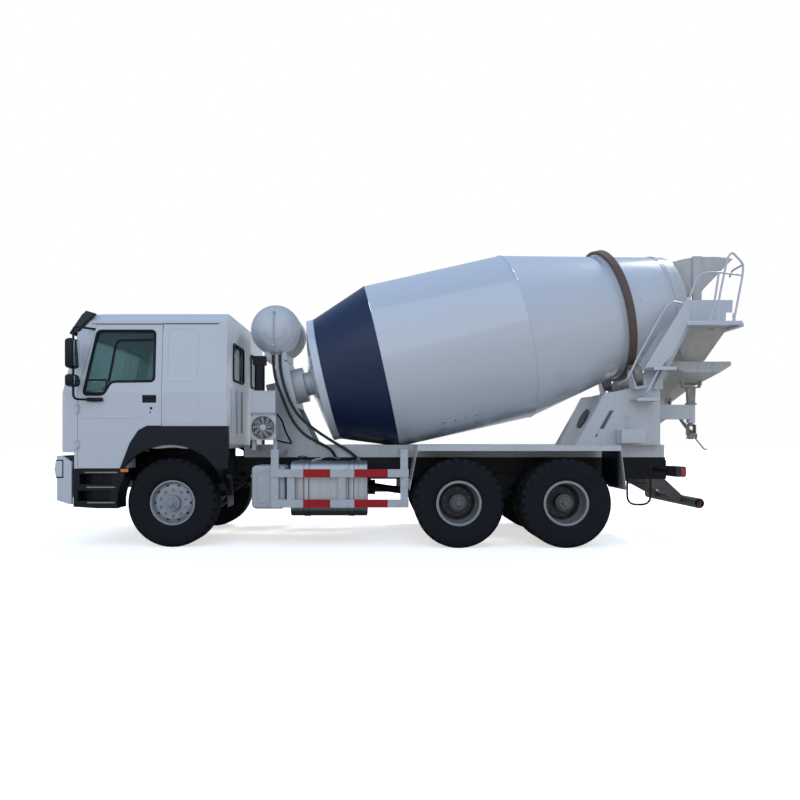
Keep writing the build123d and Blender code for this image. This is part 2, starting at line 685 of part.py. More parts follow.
def roller_place(s):
    """Centre of a roller under the running ring, on side s of the truck."""
    reach = ring_r + roller_r + seat_gap
    x, z = on_drum_axis(ring_s, -reach * cos(radians(roller_angle)))
    return x, s * reach * sin(radians(roller_angle)), z


def roller_plane(s, along=0.0):
    """Plane square to a roller's axis, moved along it."""
    x, y, z = roller_place(s)
    return Plane(origin=(x + along * cos(slope), y, z + along * sin(slope)), x_dir=(0, 1, 0),
                 z_dir=(cos(slope), 0, sin(slope)))


seat_bottom = 1900
with BuildPart() as rear_pedestal:
    for s in (-1, 1):
        with BuildSketch(side_plane(s * rear_plate_y)):
            closed_line([
                (x0 + 5300, deck_z), (x0 + 5700, 2000), (x0 + 5850, 2020), (x0 + 6330, 2130), (x0 + 6450, 2200),
                (x0 + 6450, deck_z),
            ])
            with BuildLine() as slot:
                Polyline((x0 + 5560, 1400), (x0 + 5760, 1760), (x0 + 5820, 1760), (x0 + 5620, 1400), close=True)
            make_face(slot.edges(), mode=Mode.SUBTRACT)
        extrude(amount=rear_plate_t / 2, both=True)
        # foot flange on the subframe
        with Locations((x0 + 5875, s * (rear_plate_y - 45), deck_z + 8)):
            Box(1150, 130, 16)
        # post from the side plate up to the platform
        foot, head = (x0 + 6370, s * (rear_plate_y + 30), 2050), (x0 + 6700, s * 800, platform_z)
        run = Vector(*head) - Vector(*foot)
        with BuildSketch(Plane(origin=foot, z_dir=run.normalized())):
            Rectangle(70, 70)
        extrude(amount=run.length + 60)
        with Locations((x0 + 6720, s * 820, platform_z + 100)):
            Box(400, 400, 200, mode=Mode.SUBTRACT)
        # fork that holds the roller's pin
        for d in (-1, 1):
            x, y, z = roller_place(s)
            with BuildSketch(roller_plane(s, d * (roller_width / 2 + 5 + 10))):
                with BuildLine() as ear:
                    Polyline((-70, 10), (-110, -170), (110, -170), (70, 10), close=True)
                make_face(ear.edges())
                Circle(70)
            extrude(amount=10, both=True)
        with BuildSketch(roller_plane(s, -(roller_width / 2 + 25))):
            Circle(roller_pin_r)
        extrude(amount=roller_width + 50)
        with BuildSketch(roller_plane(s, -(roller_width / 2 + 25))):
            with Locations((-s * 20, -185)):
                Rectangle(260, 30)
        extrude(amount=roller_width + 50)
    # cross beams between the side plates
    for x, z in ((5640, 1450), (6400, 1500), (6000, 1960), (6400, 2120)):
        with Locations((x0 + x, 0, z)):
            Box(90, 2 * rear_plate_y, 120)
    # beam to the chute's swivel, and its brace
    with Locations((x0 + (6400 + swivel_x) / 2, 0, 1760)):
        Box(swivel_x - 6400, 110, 210)
    with BuildSketch(side_plane(0)):
        closed_line([(x0 + 6440, 1420), (x0 + 6440, 1500), (x0 + 6700, 1690), (x0 + 6800, 1690)])
    extrude(amount=25, both=True)
    with Locations((x0 + swivel_x, 0, (swivel_tube_bottom + swivel_tube_top) / 2)):
        Cylinder(swivel_tube_r, swivel_tube_top - swivel_tube_bottom)
        Cylinder(swivel_r + seat_gap, swivel_tube_top - swivel_tube_bottom + 200, mode=Mode.SUBTRACT)
    # control box on the left side plate
    with Locations((x0 + 5995, -(rear_plate_y + 120), 1405)):
        Box(310, 240, 170)
save(rear_pedestal.part, "rear_pedestal")

for side, s in left_right:
    with BuildPart() as roller:
        with BuildSketch(roller_plane(s, -roller_width / 2)):
            Circle(roller_r)
            Circle(roller_pin_r + seat_gap, mode=Mode.SUBTRACT)
        extrude(amount=roller_width)
    save(roller.part, f"roller_{side}")

# Platform beside the drum's mouth with its box, cage rails, steps and hand rails ------------------
rail_tube_r = 16


def tube(points, radius=rail_tube_r, bend=60):
    """Bent tube through points; every corner is an arc."""
    with BuildLine() as path:
        if len(points) > 2:
            FilletPolyline(*points, radius=bend)
        else:
            Line(*points)
    start = path.line @ 0
    with BuildSketch(Plane(origin=start, z_dir=path.line % 0)) as section:
        Circle(radius)
    sweep(section.sketch, path=path.line)


with BuildPart() as platform:
    with BuildSketch(Plane.XY.offset(platform_z + seat_gap)):
        closed_line([(x0 + 6600, -890), (x0 + 7435, -890), (x0 + 7435, -600), (x0 + 6600, -700)])
        closed_line([(x0 + 6660, 700), (x0 + 6660, 840), (x0 + 7435, 840), (x0 + 7435, 600)])
    extrude(amount=platform_t)
    for s in (-1, 1):
        with Locations((x0 + 7400, 0, platform_z + seat_gap + platform_t / 2)):
            Box(70, 1500, platform_t)
    # upright box panel on the left
    with Locations((x0 + 7020, -680, platform_z + platform_t + 165)):
        Box(640, 12, 330)
    for x in (6640, 7400):
        tube([(x0 + x, -850, platform_z + 20), (x0 + x, -850, 3960)])
    tube([(x0 + 6640, -850, 3930), (x0 + 7400, -850, 3930)])
    tube([(x0 + 6640, -850, 3450), (x0 + 7400, -850, 3450)])
    tube([(x0 + 7400, -850, 3930), (x0 + 7400, -620, 3930)])
    # steps on brackets from the pedestal's left side plate
    for x, z in ((6200, 1905), (6380, 2310)):
        step_inner = -(rear_plate_y + (rear_plate_t / 2 if z < 2000 else 150)) - seat_gap
        with Locations((x0 + x, step_inner, z)):
            Box(300, 340, 30, align=(Align.CENTER, Align.MAX, Align.CENTER))
    # two hand rails from the side plate up to the platform
    for shift, y in ((0, -900), (330, -880)):
        tube([(x0 + 5760 + shift, -rear_plate_y - 14, 1700), (x0 + 5790 + shift, y, 1760),
              (x0 + 6560 + shift / 3, y, platform_z + 200), (x0 + 6640, -850, platform_z + 420)], bend=40)
save(platform.part, "platform")

# Hoppers: the charging hopper feeds the drum's mouth, the discharge hopper catches what comes out --
sheet = 6
with BuildPart() as charging_hopper:
    rim_front, rim_rear, rim_z = 6662, 7473, 3820
    throat_front, throat_rear, throat_z = 6500, 6760, 3250
    for grow, mode in ((0, Mode.ADD), (-sheet, Mode.SUBTRACT)):
        with BuildSketch(Plane.XY.offset(rim_z + (0 if grow == 0 else 1))):
            with Locations((x0 + (rim_front + rim_rear) / 2, 0)):
                Rectangle(rim_rear - rim_front + 2 * grow, 860 + 2 * grow)
        with BuildSketch(Plane.XY.offset(throat_z - (0 if grow == 0 else 1))):
            with Locations((x0 + (throat_front + throat_rear) / 2, 0)):
                Rectangle(throat_rear - throat_front + 2 * grow, 420 + 2 * grow)
        loft(mode=mode)
        if mode == Mode.ADD:
            for s in (-1, 1):
                with Locations((x0 + 7000, s * 650, platform_z + platform_t + 2 * seat_gap)):
                    Box(110, 40, 780, align=(Align.CENTER, Align.CENTER, Align.MIN))
                with Locations((x0 + 7000, s * 500, platform_z + platform_t + 760)):
                    Box(110, 300, 40)
save(charging_hopper.part, "charging_hopper")

with BuildPart() as discharge_hopper:
    top_front, top_rear, top_z = 6640, 7360, 2880
    out_front, out_rear, out_z = 6950, 7240, 2480
    for grow, mode in ((0, Mode.ADD), (-sheet, Mode.SUBTRACT)):
        with BuildSketch(Plane.XY.offset(top_z + (0 if grow == 0 else 1))):
            with Locations((x0 + (top_front + top_rear) / 2, 0)):
                Rectangle(top_rear - top_front + 2 * grow, 1080 + 2 * grow)
        with BuildSketch(Plane.XY.offset(out_z - (0 if grow == 0 else 1))):
            with Locations((x0 + (out_front + out_rear) / 2, 0)):
                Rectangle(out_rear - out_front + 2 * grow, 300 + 2 * grow)
        loft(mode=mode)
        if mode == Mode.ADD:
            for s in (-1, 1):
                with Locations((x0 + 7150, s * 590, (top_z + platform_z) / 2)):
                    Box(80, 140, platform_z - top_z)
                with Locations((x0 + 7150, s * 530, top_z - 15)):
                    Box(80, 20, 30)
    # room for the drum's mouth
    with BuildSketch(Plane(origin=(axis_x, 0, axis_z), x_dir=(cos(slope), 0, sin(slope)), z_dir=(0, -1, 0))):
        closed_line([(3000, 0), (3000, drum_radius(3000) + 30), (drum_mouth_s + 20, drum_mouth_r + 30),
                     (drum_mouth_s + 20, 0)])
    revolve(axis=Axis((axis_x, 0, axis_z), (cos(slope), 0, sin(slope))), mode=Mode.SUBTRACT)
save(discharge_hopper.part, "discharge_hopper")

# Chute: swivel post, chute on its tilt pin, and the hand jack between them -------------------------
chute_tilt = 16  # slope of the chute in degrees
chute_half_w = 420
trough_half_w = 230
chute_back, chute_front = -370, 1080  # along the chute from its tilt pin
jack_foot = (0.0, -60.0, 1430.0)  # from the swivel's axis, along the chute, and up
jack_eye = (0.0, 760.0, 1905.0)
jack_tube_r, jack_rod_r = 30, 18
tilt_pin_r = 16
with BuildPart() as chute_swivel:
    with Locations((x0 + swivel_x, 0, (1370 + 1880) / 2)):
        Cylinder(swivel_r, 1880 - 1370)
    with Locations((x0 + swivel_x, 0, swivel_tube_top + 12)):
        Cylinder(80, 20)
    with Locations((x0 + swivel_x, 0, 1580)):
        Cylinder(55, 20)
    with BuildSketch(side_plane(0)):
        closed_line([(x0 + swivel_x - 50, 1880), (x0 + swivel_x + 50, 1880), (x0 + swivel_x + 60, tilt_pin_z - 60),
                     (x0 + swivel_x - 60, tilt_pin_z - 60)])
    extrude(amount=30, both=True)
    with Locations((x0 + swivel_x, 0, tilt_pin_z - 50)):
        Box(260, 60, 20)
    for d in (-1, 1):
        with Locations((x0 + swivel_x + d * 120, 0, tilt_pin_z - 15)):
            Box(20, 50, 60)
    with Locations(Location((x0 + swivel_x, 0, tilt_pin_z), (0, 90, 0))):
        Cylinder(tilt_pin_r, 300)
    # fork for the jack's foot
    for d in (-1, 1):
        with Locations((x0 + swivel_x + d * 48, -40, jack_foot[2] - 10)):
            Box(12, 90, 60)
    with Locations((x0 + swivel_x, -20, jack_foot[2] - 46)):
        Box(108, 120, 14)
    with Locations(Location((x0 + swivel_x, jack_foot[1], jack_foot[2]), (0, 90, 0))):
        Cylinder(10, 108)
    # the post stops above the fork
    with Locations((x0 + swivel_x, jack_foot[1] + 30, jack_foot[2] + 48)):
        Box(84, 200, 153, mode=Mode.SUBTRACT)
    with Locations(Location((x0 + swivel_x, jack_foot[1], jack_foot[2]), (0, 90, 0))):
        Cylinder(10, 108)
    for d in (-1, 1):
        with Locations((x0 + swivel_x + d * 48, -10, 1500)):
            Box(12, 90, 150)
save(chute_swivel.part, "chute_swivel")

chute_lug_x = 140
rim_up, floor_up = 190, 30  # above the tilt pin, across the chute
eye_along, eye_up = 760, -15
eye_slot_r = 22


def on_chute(along, up):
    """Y and Z of a point along the chute from its tilt pin and up from it, with the chute at rest."""
    t = radians(chute_tilt)
    return along * cos(t) + up * sin(t), tilt_pin_z - along * sin(t) + up * cos(t)


def chute_plane(along):
    """Plane across the chute at rest: sketch x is the truck's X, sketch y points up from its floor."""
    y, z = on_chute(along, 0)
    t = radians(chute_tilt)
    return Plane(origin=(x0 + swivel_x, y, z), x_dir=(1, 0, 0), z_dir=(0, -cos(t), sin(t)))


with BuildPart() as chute:
    # along the chute, half widths of its rim and its floor
    stations = ((chute_back, chute_half_w, 250), (260, trough_half_w + 20, 120), (chute_front, trough_half_w, 110))
    for inset, mode in ((0, Mode.ADD), (sheet, Mode.SUBTRACT)):
        for (a, rim_a, floor_a), (b, rim_b, floor_b) in zip(stations, stations[1:]):
            start = a + (inset if a == chute_back else 0)
            end = b + (1 if inset and b == chute_front else 0)
            for along, rim_w, floor_w in ((start, rim_a, floor_a), (end, rim_b, floor_b)):
                with BuildSketch(chute_plane(along)):
                    r, f, low = rim_w - inset, floor_w - inset / 2, floor_up + inset
                    top = rim_up + (1 if inset else 0)
                    closed_line([(-r, top), (-r + 10, rim_up - 60), (-f, low), (f, low), (r - 10, rim_up - 60),
                                 (r, top)])
            loft(mode=mode)
    for d in (-1, 1):
        y, z = on_chute(0, 0)
        with BuildSketch(Plane(origin=(x0 + swivel_x + d * chute_lug_x, y, z), x_dir=(0, 1, 0), z_dir=(1, 0, 0))):
            Circle(34)
            with Locations((0, 34)):
                Rectangle(68, 68)
            Circle(tilt_pin_r + seat_gap, mode=Mode.SUBTRACT)
        extrude(amount=6, both=True)
        y, z = on_chute(eye_along, eye_up)
        with BuildSketch(Plane(origin=(x0 + swivel_x + d * 32, y, z), x_dir=(0, 1, 0), z_dir=(1, 0, 0))):
            Circle(eye_slot_r + 12)
            with Locations((8, 34)):
                Rectangle(68, 40)
            Circle(eye_slot_r, mode=Mode.SUBTRACT)
        extrude(amount=6, both=True)
    # keep the inside clear above the floor sheet
    for (a, rim_a, floor_a), (b, rim_b, floor_b) in zip(stations, stations[1:]):
        for along, rim_w, floor_w in ((max(a, chute_back + sheet), rim_a, floor_a), (b + 1, rim_b, floor_b)):
            with BuildSketch(chute_plane(along)):
                r, f = rim_w - sheet, floor_w - sheet / 2
                closed_line([(-r, rim_up + 1), (-r + 10, rim_up - 60), (-f, floor_up + sheet), (f, floor_up + sheet),
                             (r - 10, rim_up - 60), (r, rim_up + 1)])
        loft(mode=Mode.SUBTRACT)
save(chute.part, "chute")

# Hand jack: a tube on the swivel's fork with its crank, and the rod that lifts the chute ----------
foot_y, foot_z = jack_foot[1], jack_foot[2]
eye_y, eye_z = on_chute(eye_along, eye_up)
jack_length = hypot(eye_y - foot_y, eye_z - foot_z)
jack_lean = atan2(eye_z - foot_z, eye_y - foot_y)


def jack_plane(along):
    """Plane square to the jack, along it from its foot."""
    direction = (0, cos(jack_lean), sin(jack_lean))
    origin = (x0 + swivel_x, foot_y + along * direction[1], foot_z + along * direction[2])
    return Plane(origin=origin, x_dir=(1, 0, 0), z_dir=direction)


tube_end, rod_start = 600, 300
with BuildPart() as jack_tube:
    with Locations(Location((x0 + swivel_x, foot_y, foot_z), (0, 90, 0))):
        Cylinder(26, 80)
    with BuildSketch(jack_plane(0)):
        Circle(jack_tube_r)
    extrude(amount=tube_end)
    with BuildSketch(jack_plane(60)):
        Circle(jack_rod_r + seat_gap)
    extrude(amount=tube_end, mode=Mode.SUBTRACT)
    with Locations(Location((x0 + swivel_x, foot_y, foot_z), (0, 90, 0))):
        Cylinder(10 + seat_gap, 82, mode=Mode.SUBTRACT)
    with BuildSketch(jack_plane(-110)):
        Circle(9)
    extrude(amount=110 - 20)
    y, z = foot_y - 100 * cos(jack_lean), foot_z - 100 * sin(jack_lean)
    tube([(x0 + swivel_x, y, z), (x0 + swivel_x + 110, y - 30, z - 150), (x0 + swivel_x + 110, y - 90, z - 150)],
         radius=9, bend=15)
save(jack_tube.part, "jack_tube")

with BuildPart() as jack_rod:
    with BuildSketch(jack_plane(rod_start)):
        Circle(jack_rod_r)
    extrude(amount=jack_length - rod_start - 10)
    with Locations(Location((x0 + swivel_x, eye_y, eye_z), (0, 90, 0))):
        Cylinder(20, 40)
        Cylinder(8, 90)
save(jack_rod.part, "jack_rod")

# Oil cooler: header box over a fan housing, on two legs from the subframe --------------------------
cooler_x, cooler_y = 1102, -750
with BuildPart() as oil_cooler:
    with Locations((x0 + cooler_x, cooler_y, 1853)):
        Box(331, 330, 293)
    with Locations((x0 + cooler_x, cooler_y, 1532)):
        Box(331, 260, 350)
    with BuildSketch(side_plane(cooler_y - 128)):
        with Locations((x0 + cooler_x, 1520)):
            Circle(151)
    extrude(amount=30, mode=Mode.SUBTRACT)
    with BuildSketch(side_plane(cooler_y - 60)):
        with Locations((x0 + cooler_x, 1520)):
            Circle(50)
    extrude(amount=60)
    for x in (-140, 140):
        with Locations((x0 + cooler_x + x, -rail_y - seat_gap, 1250)):
            Box(50, -cooler_y - rail_y - seat_gap + 30, 60, align=(Align.CENTER, Align.MAX, Align.CENTER))
        with Locations((x0 + cooler_x + x, cooler_y, 1300)):
            Box(50, 60, 160)
save(oil_cooler.part, "oil_cooler")

# Air intake stack behind the cab --------------------------------------------------------------
intake_x, intake_y = 985, -495
with BuildPart() as air_intake:
    with BuildSketch(Plane.XY.offset(deck_z + 90)):
        with Locations((x0 + intake_x, intake_y)):
            RectangleRounded(130, 100, 30)
    extrude(amount=2480 - deck_z - 90)
    with Locations((x0 + intake_x, intake_y, 2440)):
        Box(170, 130, 120)
    with Locations((x0 + 890, -rail_y - seat_gap, deck_z - 20)):
        Box(60, 100, 60, align=(Align.CENTER, Align.MAX, Align.CENTER))
    with Locations((x0 + 890, intake_y, deck_z + 60)):
        Box(60, 60, 160)
    with Locations((x0 + 930, intake_y, deck_z + 120)):
        Box(120, 60, 60)
save(air_intake.part, "air_intake")

# Cab ------------------------------------------------------------------------------------------
cab_corner_x = -1380  # the front's corners, behind its bowed middle
cab_top_half_w = 1175
lid_t = 25


def cab_block(inset=0.0):
    """Solid outer form of the cab, moved inward by inset."""
    w = half_width - inset
    with BuildPart() as block:
        with BuildSketch(Plane.XY.offset(cab_belt_z), mode=Mode.PRIVATE) as plan:
            with BuildLine() as outline:
                bow = ThreePointArc((x0 + cab_corner_x + inset, -w), (x0 + cab_front + inset, 0),
                                    (x0 + cab_corner_x + inset, w))
                Polyline(bow @ 1, (x0 + cab_rear + 10, w), (x0 + cab_rear + 10, -w), bow @ 0)
            make_face(outline.edges())
            fillet(plan.vertices().sort_by(Axis.X)[:2], 130 - inset)
        lean = radians(pillar_slope)
        extrude(plan.sketch, amount=cab_sill_z - 200 - cab_belt_z)
        extrude(plan.sketch, amount=(cab_roof_z + 50 - cab_belt_z) / cos(lean), dir=(sin(lean), 0, cos(lean)))
        with BuildSketch(side_plane(0)):
            closed_line([
                (x0 - 1700, cab_sill_z - inset), (x0 - 1700, 2860 - inset), (x0 - 1000, 2965 - inset),
                (x0 - 700, 3030 - inset), (x0, cab_roof_z - inset), (x0 + cab_rear - 120, 3045 - inset),
                (x0 + cab_rear - inset, 2960 - inset), (x0 + cab_rear - inset, cab_sill_z - inset),
            ])
        extrude(amount=half_width + 200, both=True, mode=Mode.INTERSECT)
        with BuildSketch(Plane.YZ.offset(x0 - 2000)):
            with BuildLine() as section:
                top_w = cab_top_half_w - inset
                low_w = w + (w - top_w) * (cab_belt_z - cab_sill_z + 150) / (2860 - cab_belt_z)
                crown = ThreePointArc((-top_w + 70, 2950 - inset), (0, cab_roof_z + 40 - inset),
                                      (top_w - 70, 2950 - inset))
                Polyline(crown @ 1, (top_w, 2860 - inset / 2), (low_w, cab_sill_z - 150),
                         (-low_w, cab_sill_z - 150), (-top_w, 2860 - inset / 2), crown @ 0)
            make_face(section.edges())
        extrude(amount=4000, mode=Mode.INTERSECT)
    return block.part


def side_prism(points, y_from, y_to):
    """Prism through both sides of the truck over an outline in side view, between two distances."""
    with BuildPart() as prism:
        for s in (-1, 1):
            with BuildSketch(side_plane(s * (y_from + y_to) / 2)):
                closed_line([(x0 + x, z) for x, z in points])
            extrude(amount=(y_to - y_from) / 2, both=True)
    return prism.part


def grown(points, amount):
    """Outline moved outward by amount, with sharp corners."""
    with BuildSketch(Plane.XY) as sketch:
        closed_line(points)
        offset(amount=amount, kind=Kind.INTERSECTION)
    outline = sketch.face().outer_wire()
    return [((e @ 0).X, (e @ 0).Y) for e in outline.order_edges()]


door_outline = [
    (door_front, cab_sill_z + 3), (-625, cab_sill_z + 3), (-500, 1325), (-395, 1480), (-290, 1537),
    (door_rear, 1537), (door_rear, door_top_z), (-940, door_top_z), (-1135, 2030), (door_front, 1950),
]
door_window = [(-1085, 1925), (-830, 1925), (-740, 2088), (-200, 2095), (-200, 2735), (-925, 2735)]
flare_outline = [
    (-620, cab_sill_z), (-495, 1322), (-390, 1475), (-287, 1532), (732, 1532), (732, cab_sill_z),
]
flare_r = 735
side_far = half_width + 30
outer_block = cab_block()
wall_block = cab_block(cab_wall)
door_prism = side_prism(door_outline, 700, side_far)
door_cut = side_prism(grown(door_outline, gap), 700, side_far)
door_layer = outer_block - cab_block(cab_wall - gap)

# Cab shell: floor, tunnel over the engine, pillars, roof and rear wall
with BuildPart() as cab_shell:
    add(outer_block)
    # inside, above the floor, with the tunnel left standing
    with BuildPart(mode=Mode.PRIVATE) as inside:
        add(wall_block)
        with Locations((x0 - 400, 0, cab_sill_z + (cab_floor_z + cab_wall - cab_sill_z) / 2)):
            Box(2600, 3000, cab_floor_z + cab_wall - cab_sill_z, mode=Mode.SUBTRACT)
        with Locations((x0 - 300, 0, 1370)):
            Box(1700, 860, 160, mode=Mode.SUBTRACT)
    add(inside.part, mode=Mode.SUBTRACT)
    # underside: over the frame and engine, behind the foot wells, and round the front wheels
    with Locations((x0 - 400, 0, (cab_sill_z + cab_front_sill_z) / 2)):
        Box(2600, 1800, cab_front_sill_z - cab_sill_z, mode=Mode.SUBTRACT)
    with Locations((x0 - 1195 - 200, 0, (cab_sill_z + cab_front_sill_z) / 2)):
        Box(400, 3000, cab_front_sill_z - cab_sill_z, mode=Mode.SUBTRACT)
    with Locations((x0 + 300, 0, (cab_sill_z + cab_floor_z) / 2)):
        Box(1720, 3000, cab_floor_z - cab_sill_z, mode=Mode.SUBTRACT)
    with Locations((x0 - 200, 0, 1200)):
        Box(1500, 780, 400, mode=Mode.SUBTRACT)
    with Locations(Location((x0, 0, wheel_z), (90, 0, 0))):
        Cylinder(705, 3000, mode=Mode.SUBTRACT)
    # doorways, the recess of the front lid, and the place of the flares
    add((outer_block - wall_block) & door_cut, mode=Mode.SUBTRACT)
    with BuildPart(mode=Mode.PRIVATE) as lid_space:
        add(outer_block - cab_block(lid_t + gap))
        with Locations((x0 - 1350, 0, (cab_front_sill_z - 10 + 1935) / 2)):
            Box(300, 2250, 1935 - cab_front_sill_z + 10, mode=Mode.INTERSECT)
    add(lid_space.part, mode=Mode.SUBTRACT)
    add(side_prism(flare_outline, half_width - 60, side_far), mode=Mode.SUBTRACT)
    # windscreen and two rear windows
    with BuildSketch(Plane.YZ.offset(x0 - 1700)):
        closed_line([(-1070, 2010), (1070, 2010), (1000, 2740), (-1000, 2740)])
        fillet(vertices(), 70)
    extrude(amount=1200, mode=Mode.SUBTRACT)
    with BuildSketch(Plane.YZ.offset(x0 + 500)):
        for s in (-1, 1):
            with Locations((s * 560, 2380)):
                RectangleRounded(620, 480, 60)
    extrude(amount=400, mode=Mode.SUBTRACT)
    # arms down to the tilt hinge
    for s in (-1, 1):
        with BuildSketch(side_plane(s * (rail_y + 37))):
            closed_line([
                (x0 + cab_tilt_x, cab_tilt_z - 30), (x0 - 1130, 1030), (x0 - 1130, cab_front_sill_z + 20),
                (x0 - 1210, cab_front_sill_z + 20), (x0 - 1210, 1060), (x0 + cab_tilt_x, cab_tilt_z + 30),
            ])
            with Locations((x0 + cab_tilt_x, cab_tilt_z)):
                Circle(30)
                Circle(15 + seat_gap, mode=Mode.SUBTRACT)
        extrude(amount=17, both=True)
        # pins of the door's hinges, on lugs
        for z in (1300, 1750):
            with Locations((x0 + door_front - 4, s * (half_width + door_hinge_out), z)):
                Cylinder(5, 110)
            for d in (-48, 48):
                with Locations((x0 + door_front - 30, s * (half_width + 6), z + d)):
                    Box(40, 32, 14)
                with Locations((x0 + door_front - 6, s * (half_width + 15), z + d)):
                    Box(18, 14, 14)
        # pins of the lid's hinges
        with Locations((x0 - 1452, s * 600, 1962)):
            Box(44, 12, 34)
        with Locations(Location((x0 - 1460, s * 575, 1953), (90, 0, 0))):
            Cylinder(5, 56)
# Seams where the cab's floor, front, sides, rear wall and roof meet
with BuildPart() as seams:
    with Locations((x0 - 400, 0, roof_seam_z)):
        Box(2600, 3000, seat_gap)
    floor_top = cab_floor_z + cab_wall
    floor_front = door_front - gap + 3  # just behind the doorway's front edge
    with Locations((x0 + floor_front, 0, floor_top - 200)):
        Box(seat_gap, 2 * half_width - 6, 402)
    with BuildSketch(Plane.XY.offset(floor_top)):
        with Locations((x0 + door_rear + 400, 0)):
            Rectangle(1000, 3000)
        with Locations((x0 - 300, 0)):
            Rectangle(1720, 880, mode=Mode.SUBTRACT)
    extrude(amount=seat_gap)
    with Locations((x0 + cab_rear - cab_wall - 1, 0, (floor_top + roof_seam_z) / 2)):
        Box(seat_gap, 3000, roof_seam_z - floor_top)
    with Locations((x0 + door_rear + gap - 3, 0, roof_seam_z - 35)):
        Box(seat_gap, 3000, 70)
save(cab_shell.part - seams.part, "cab_shell")

# Doors, with the window cut and the hinge knuckles that turn on the cab's pins ---------------------
knuckle_r = 10
window_prism = side_prism(door_window, 700, side_far)
with BuildPart() as door_pair:
    add(door_layer & door_prism)
    add(window_prism, mode=Mode.SUBTRACT)
    for s in (-1, 1):
        for z in (1300, 1750):
            with Locations((x0 + door_front - 4, s * (half_width + door_hinge_out), z)):
                Cylinder(knuckle_r, 70)
            with Locations((x0 + door_front + 10, s * (half_width + 8), z)):
                Box(18, 20, 60)
            with Locations((x0 + door_front - 4, s * (half_width + door_hinge_out), z)):
                Cylinder(5 + seat_gap, 90, mode=Mode.SUBTRACT)
    # recess of the handle
    with Locations((x0 - 257, -half_width, 1875), (x0 - 257, half_width, 1875)):
        Box(165, 36, 90, mode=Mode.SUBTRACT)
doors = door_pair.part.solids().sort_by(Axis.Y)
save(Compound(children=[d for d in doors if d.center().Y < 0]), "door_left")
save(Compound(children=[d for d in doors if d.center().Y > 0]), "door_right")

glass_layer = cab_block(20) - cab_block(26)
side_glass = glass_layer & side_prism(grown(door_window, -seat_gap), 700, side_far)
panes = side_glass.solids().sort_by(Axis.Y)
save(Compound(children=[p for p in panes if p.center().Y < 0]), "door_glass_left")
save(Compound(children=[p for p in panes if p.center().Y > 0]), "door_glass_right")

with BuildPart() as cab_glass:
    with BuildSketch(Plane.YZ.offset(x0 - 1700)):
        closed_line([(-1070, 2010), (1070, 2010), (1000, 2740), (-1000, 2740)])
        fillet(vertices(), 70)
        offset(amount=-seat_gap)
    extrude(amount=1200)
    with BuildSketch(Plane.YZ.offset(x0 + 500)):
        for s in (-1, 1):
            with Locations((s * 560, 2380)):
                RectangleRounded(620 - 2 * seat_gap, 480 - 2 * seat_gap, 60)
    extrude(amount=400)
    add(glass_layer, mode=Mode.INTERSECT)
save(cab_glass.part, "cab_glass")

# Front lid with the raised grille, on two gooseneck eyes
with BuildPart() as front_lid:
    add(outer_block - cab_block(lid_t))
    with Locations((x0 - 1350, 0, (cab_front_sill_z + gap + 1930) / 2)):
        Box(300, 2240, 1930 - cab_front_sill_z - gap, mode=Mode.INTERSECT)
    with BuildPart(mode=Mode.PRIVATE) as grille:
        add(cab_block(-28) - cab_block(lid_t))
        with Locations((x0 - 1400, 0, 1405)):
            Box(400, 2100, 390, mode=Mode.INTERSECT)
    add(grille.part)
    for z in (1270, 1350, 1430, 1510):
        with Locations((x0 - 1480, 0, z)):
            Box(110, 1700, 38, mode=Mode.SUBTRACT)
    for s in (-1, 1):
        with Locations((x0 - 1451, s * 575, 1932)):
            Box(24, 22, 34)
        with Locations((x0 - 1433, s * 575, 1918)):
            Box(26, 22, 22)
        with Locations(Location((x0 - 1460, s * 575, 1953), (90, 0, 0))):
            Cylinder(11, 22)
            Cylinder(5 + seat_gap, 30, mode=Mode.SUBTRACT)
save(front_lid.part, "front_lid")

# Wheel-arch flares on the cab's sides
with BuildPart() as wheel_flares:
    add(side_prism(flare_outline, half_width - 60, half_width + 12))
    with Locations(Location((x0, 0, wheel_z), (90, 0, 0))):
        Cylinder(flare_r, 3000, mode=Mode.SUBTRACT)
save(wheel_flares.part, "wheel_flares")

# Sun visor over the windscreen
with BuildPart() as sun_visor:
    with BuildSketch(side_plane(0)):
        closed_line([(x0 - 1255, 2735), (x0 - 1200, 2725), (x0 - 900, 2960), (x0 - 905, 3010), (x0 - 990, 3010)])
    extrude(amount=1120, both=True)
    add(cab_block(-seat_gap), mode=Mode.SUBTRACT)
    add(cab_block(60), mode=Mode.SUBTRACT)
visor_parts = sun_visor.part.solids().sort_by(SortBy.VOLUME)
save(Compound(children=[visor_parts[-1]]), "sun_visor")

# Mirrors: a tube loop from the top to the middle of each door, with two housings
mirror_x, mirror_y = -1130, 1400
with BuildPart() as mirror_left:
    tube([(x0 - 940, -1150, 2755), (x0 + mirror_x, -mirror_y, 2755), (x0 + mirror_x, -mirror_y, 1860),
          (x0 - 940, -half_width + 20, 1860)], radius=14, bend=50)
    for z, height, width in ((2415, 370, 200), (2085, 150, 190)):
        with BuildSketch(Plane.XY.offset(z - height / 2)):
            with Locations((x0 + mirror_x - 5, -mirror_y - 20)):
                RectangleRounded(120, width, 40)
        extrude(amount=height)
    with Locations((x0 - 950, -half_width + 10, 1860), (x0 - 950, -1180, 2755)):
        Box(90, 40, 60)
    add(cab_block(-seat_gap), mode=Mode.SUBTRACT)
mirror_solid = mirror_left.part.solids().sort_by(SortBy.VOLUME)[-1]
save(Compound(children=[mirror_solid]), "mirror_left")
save(Compound(children=[mirror(mirror_solid, about=Plane.XZ)]), "mirror_right")

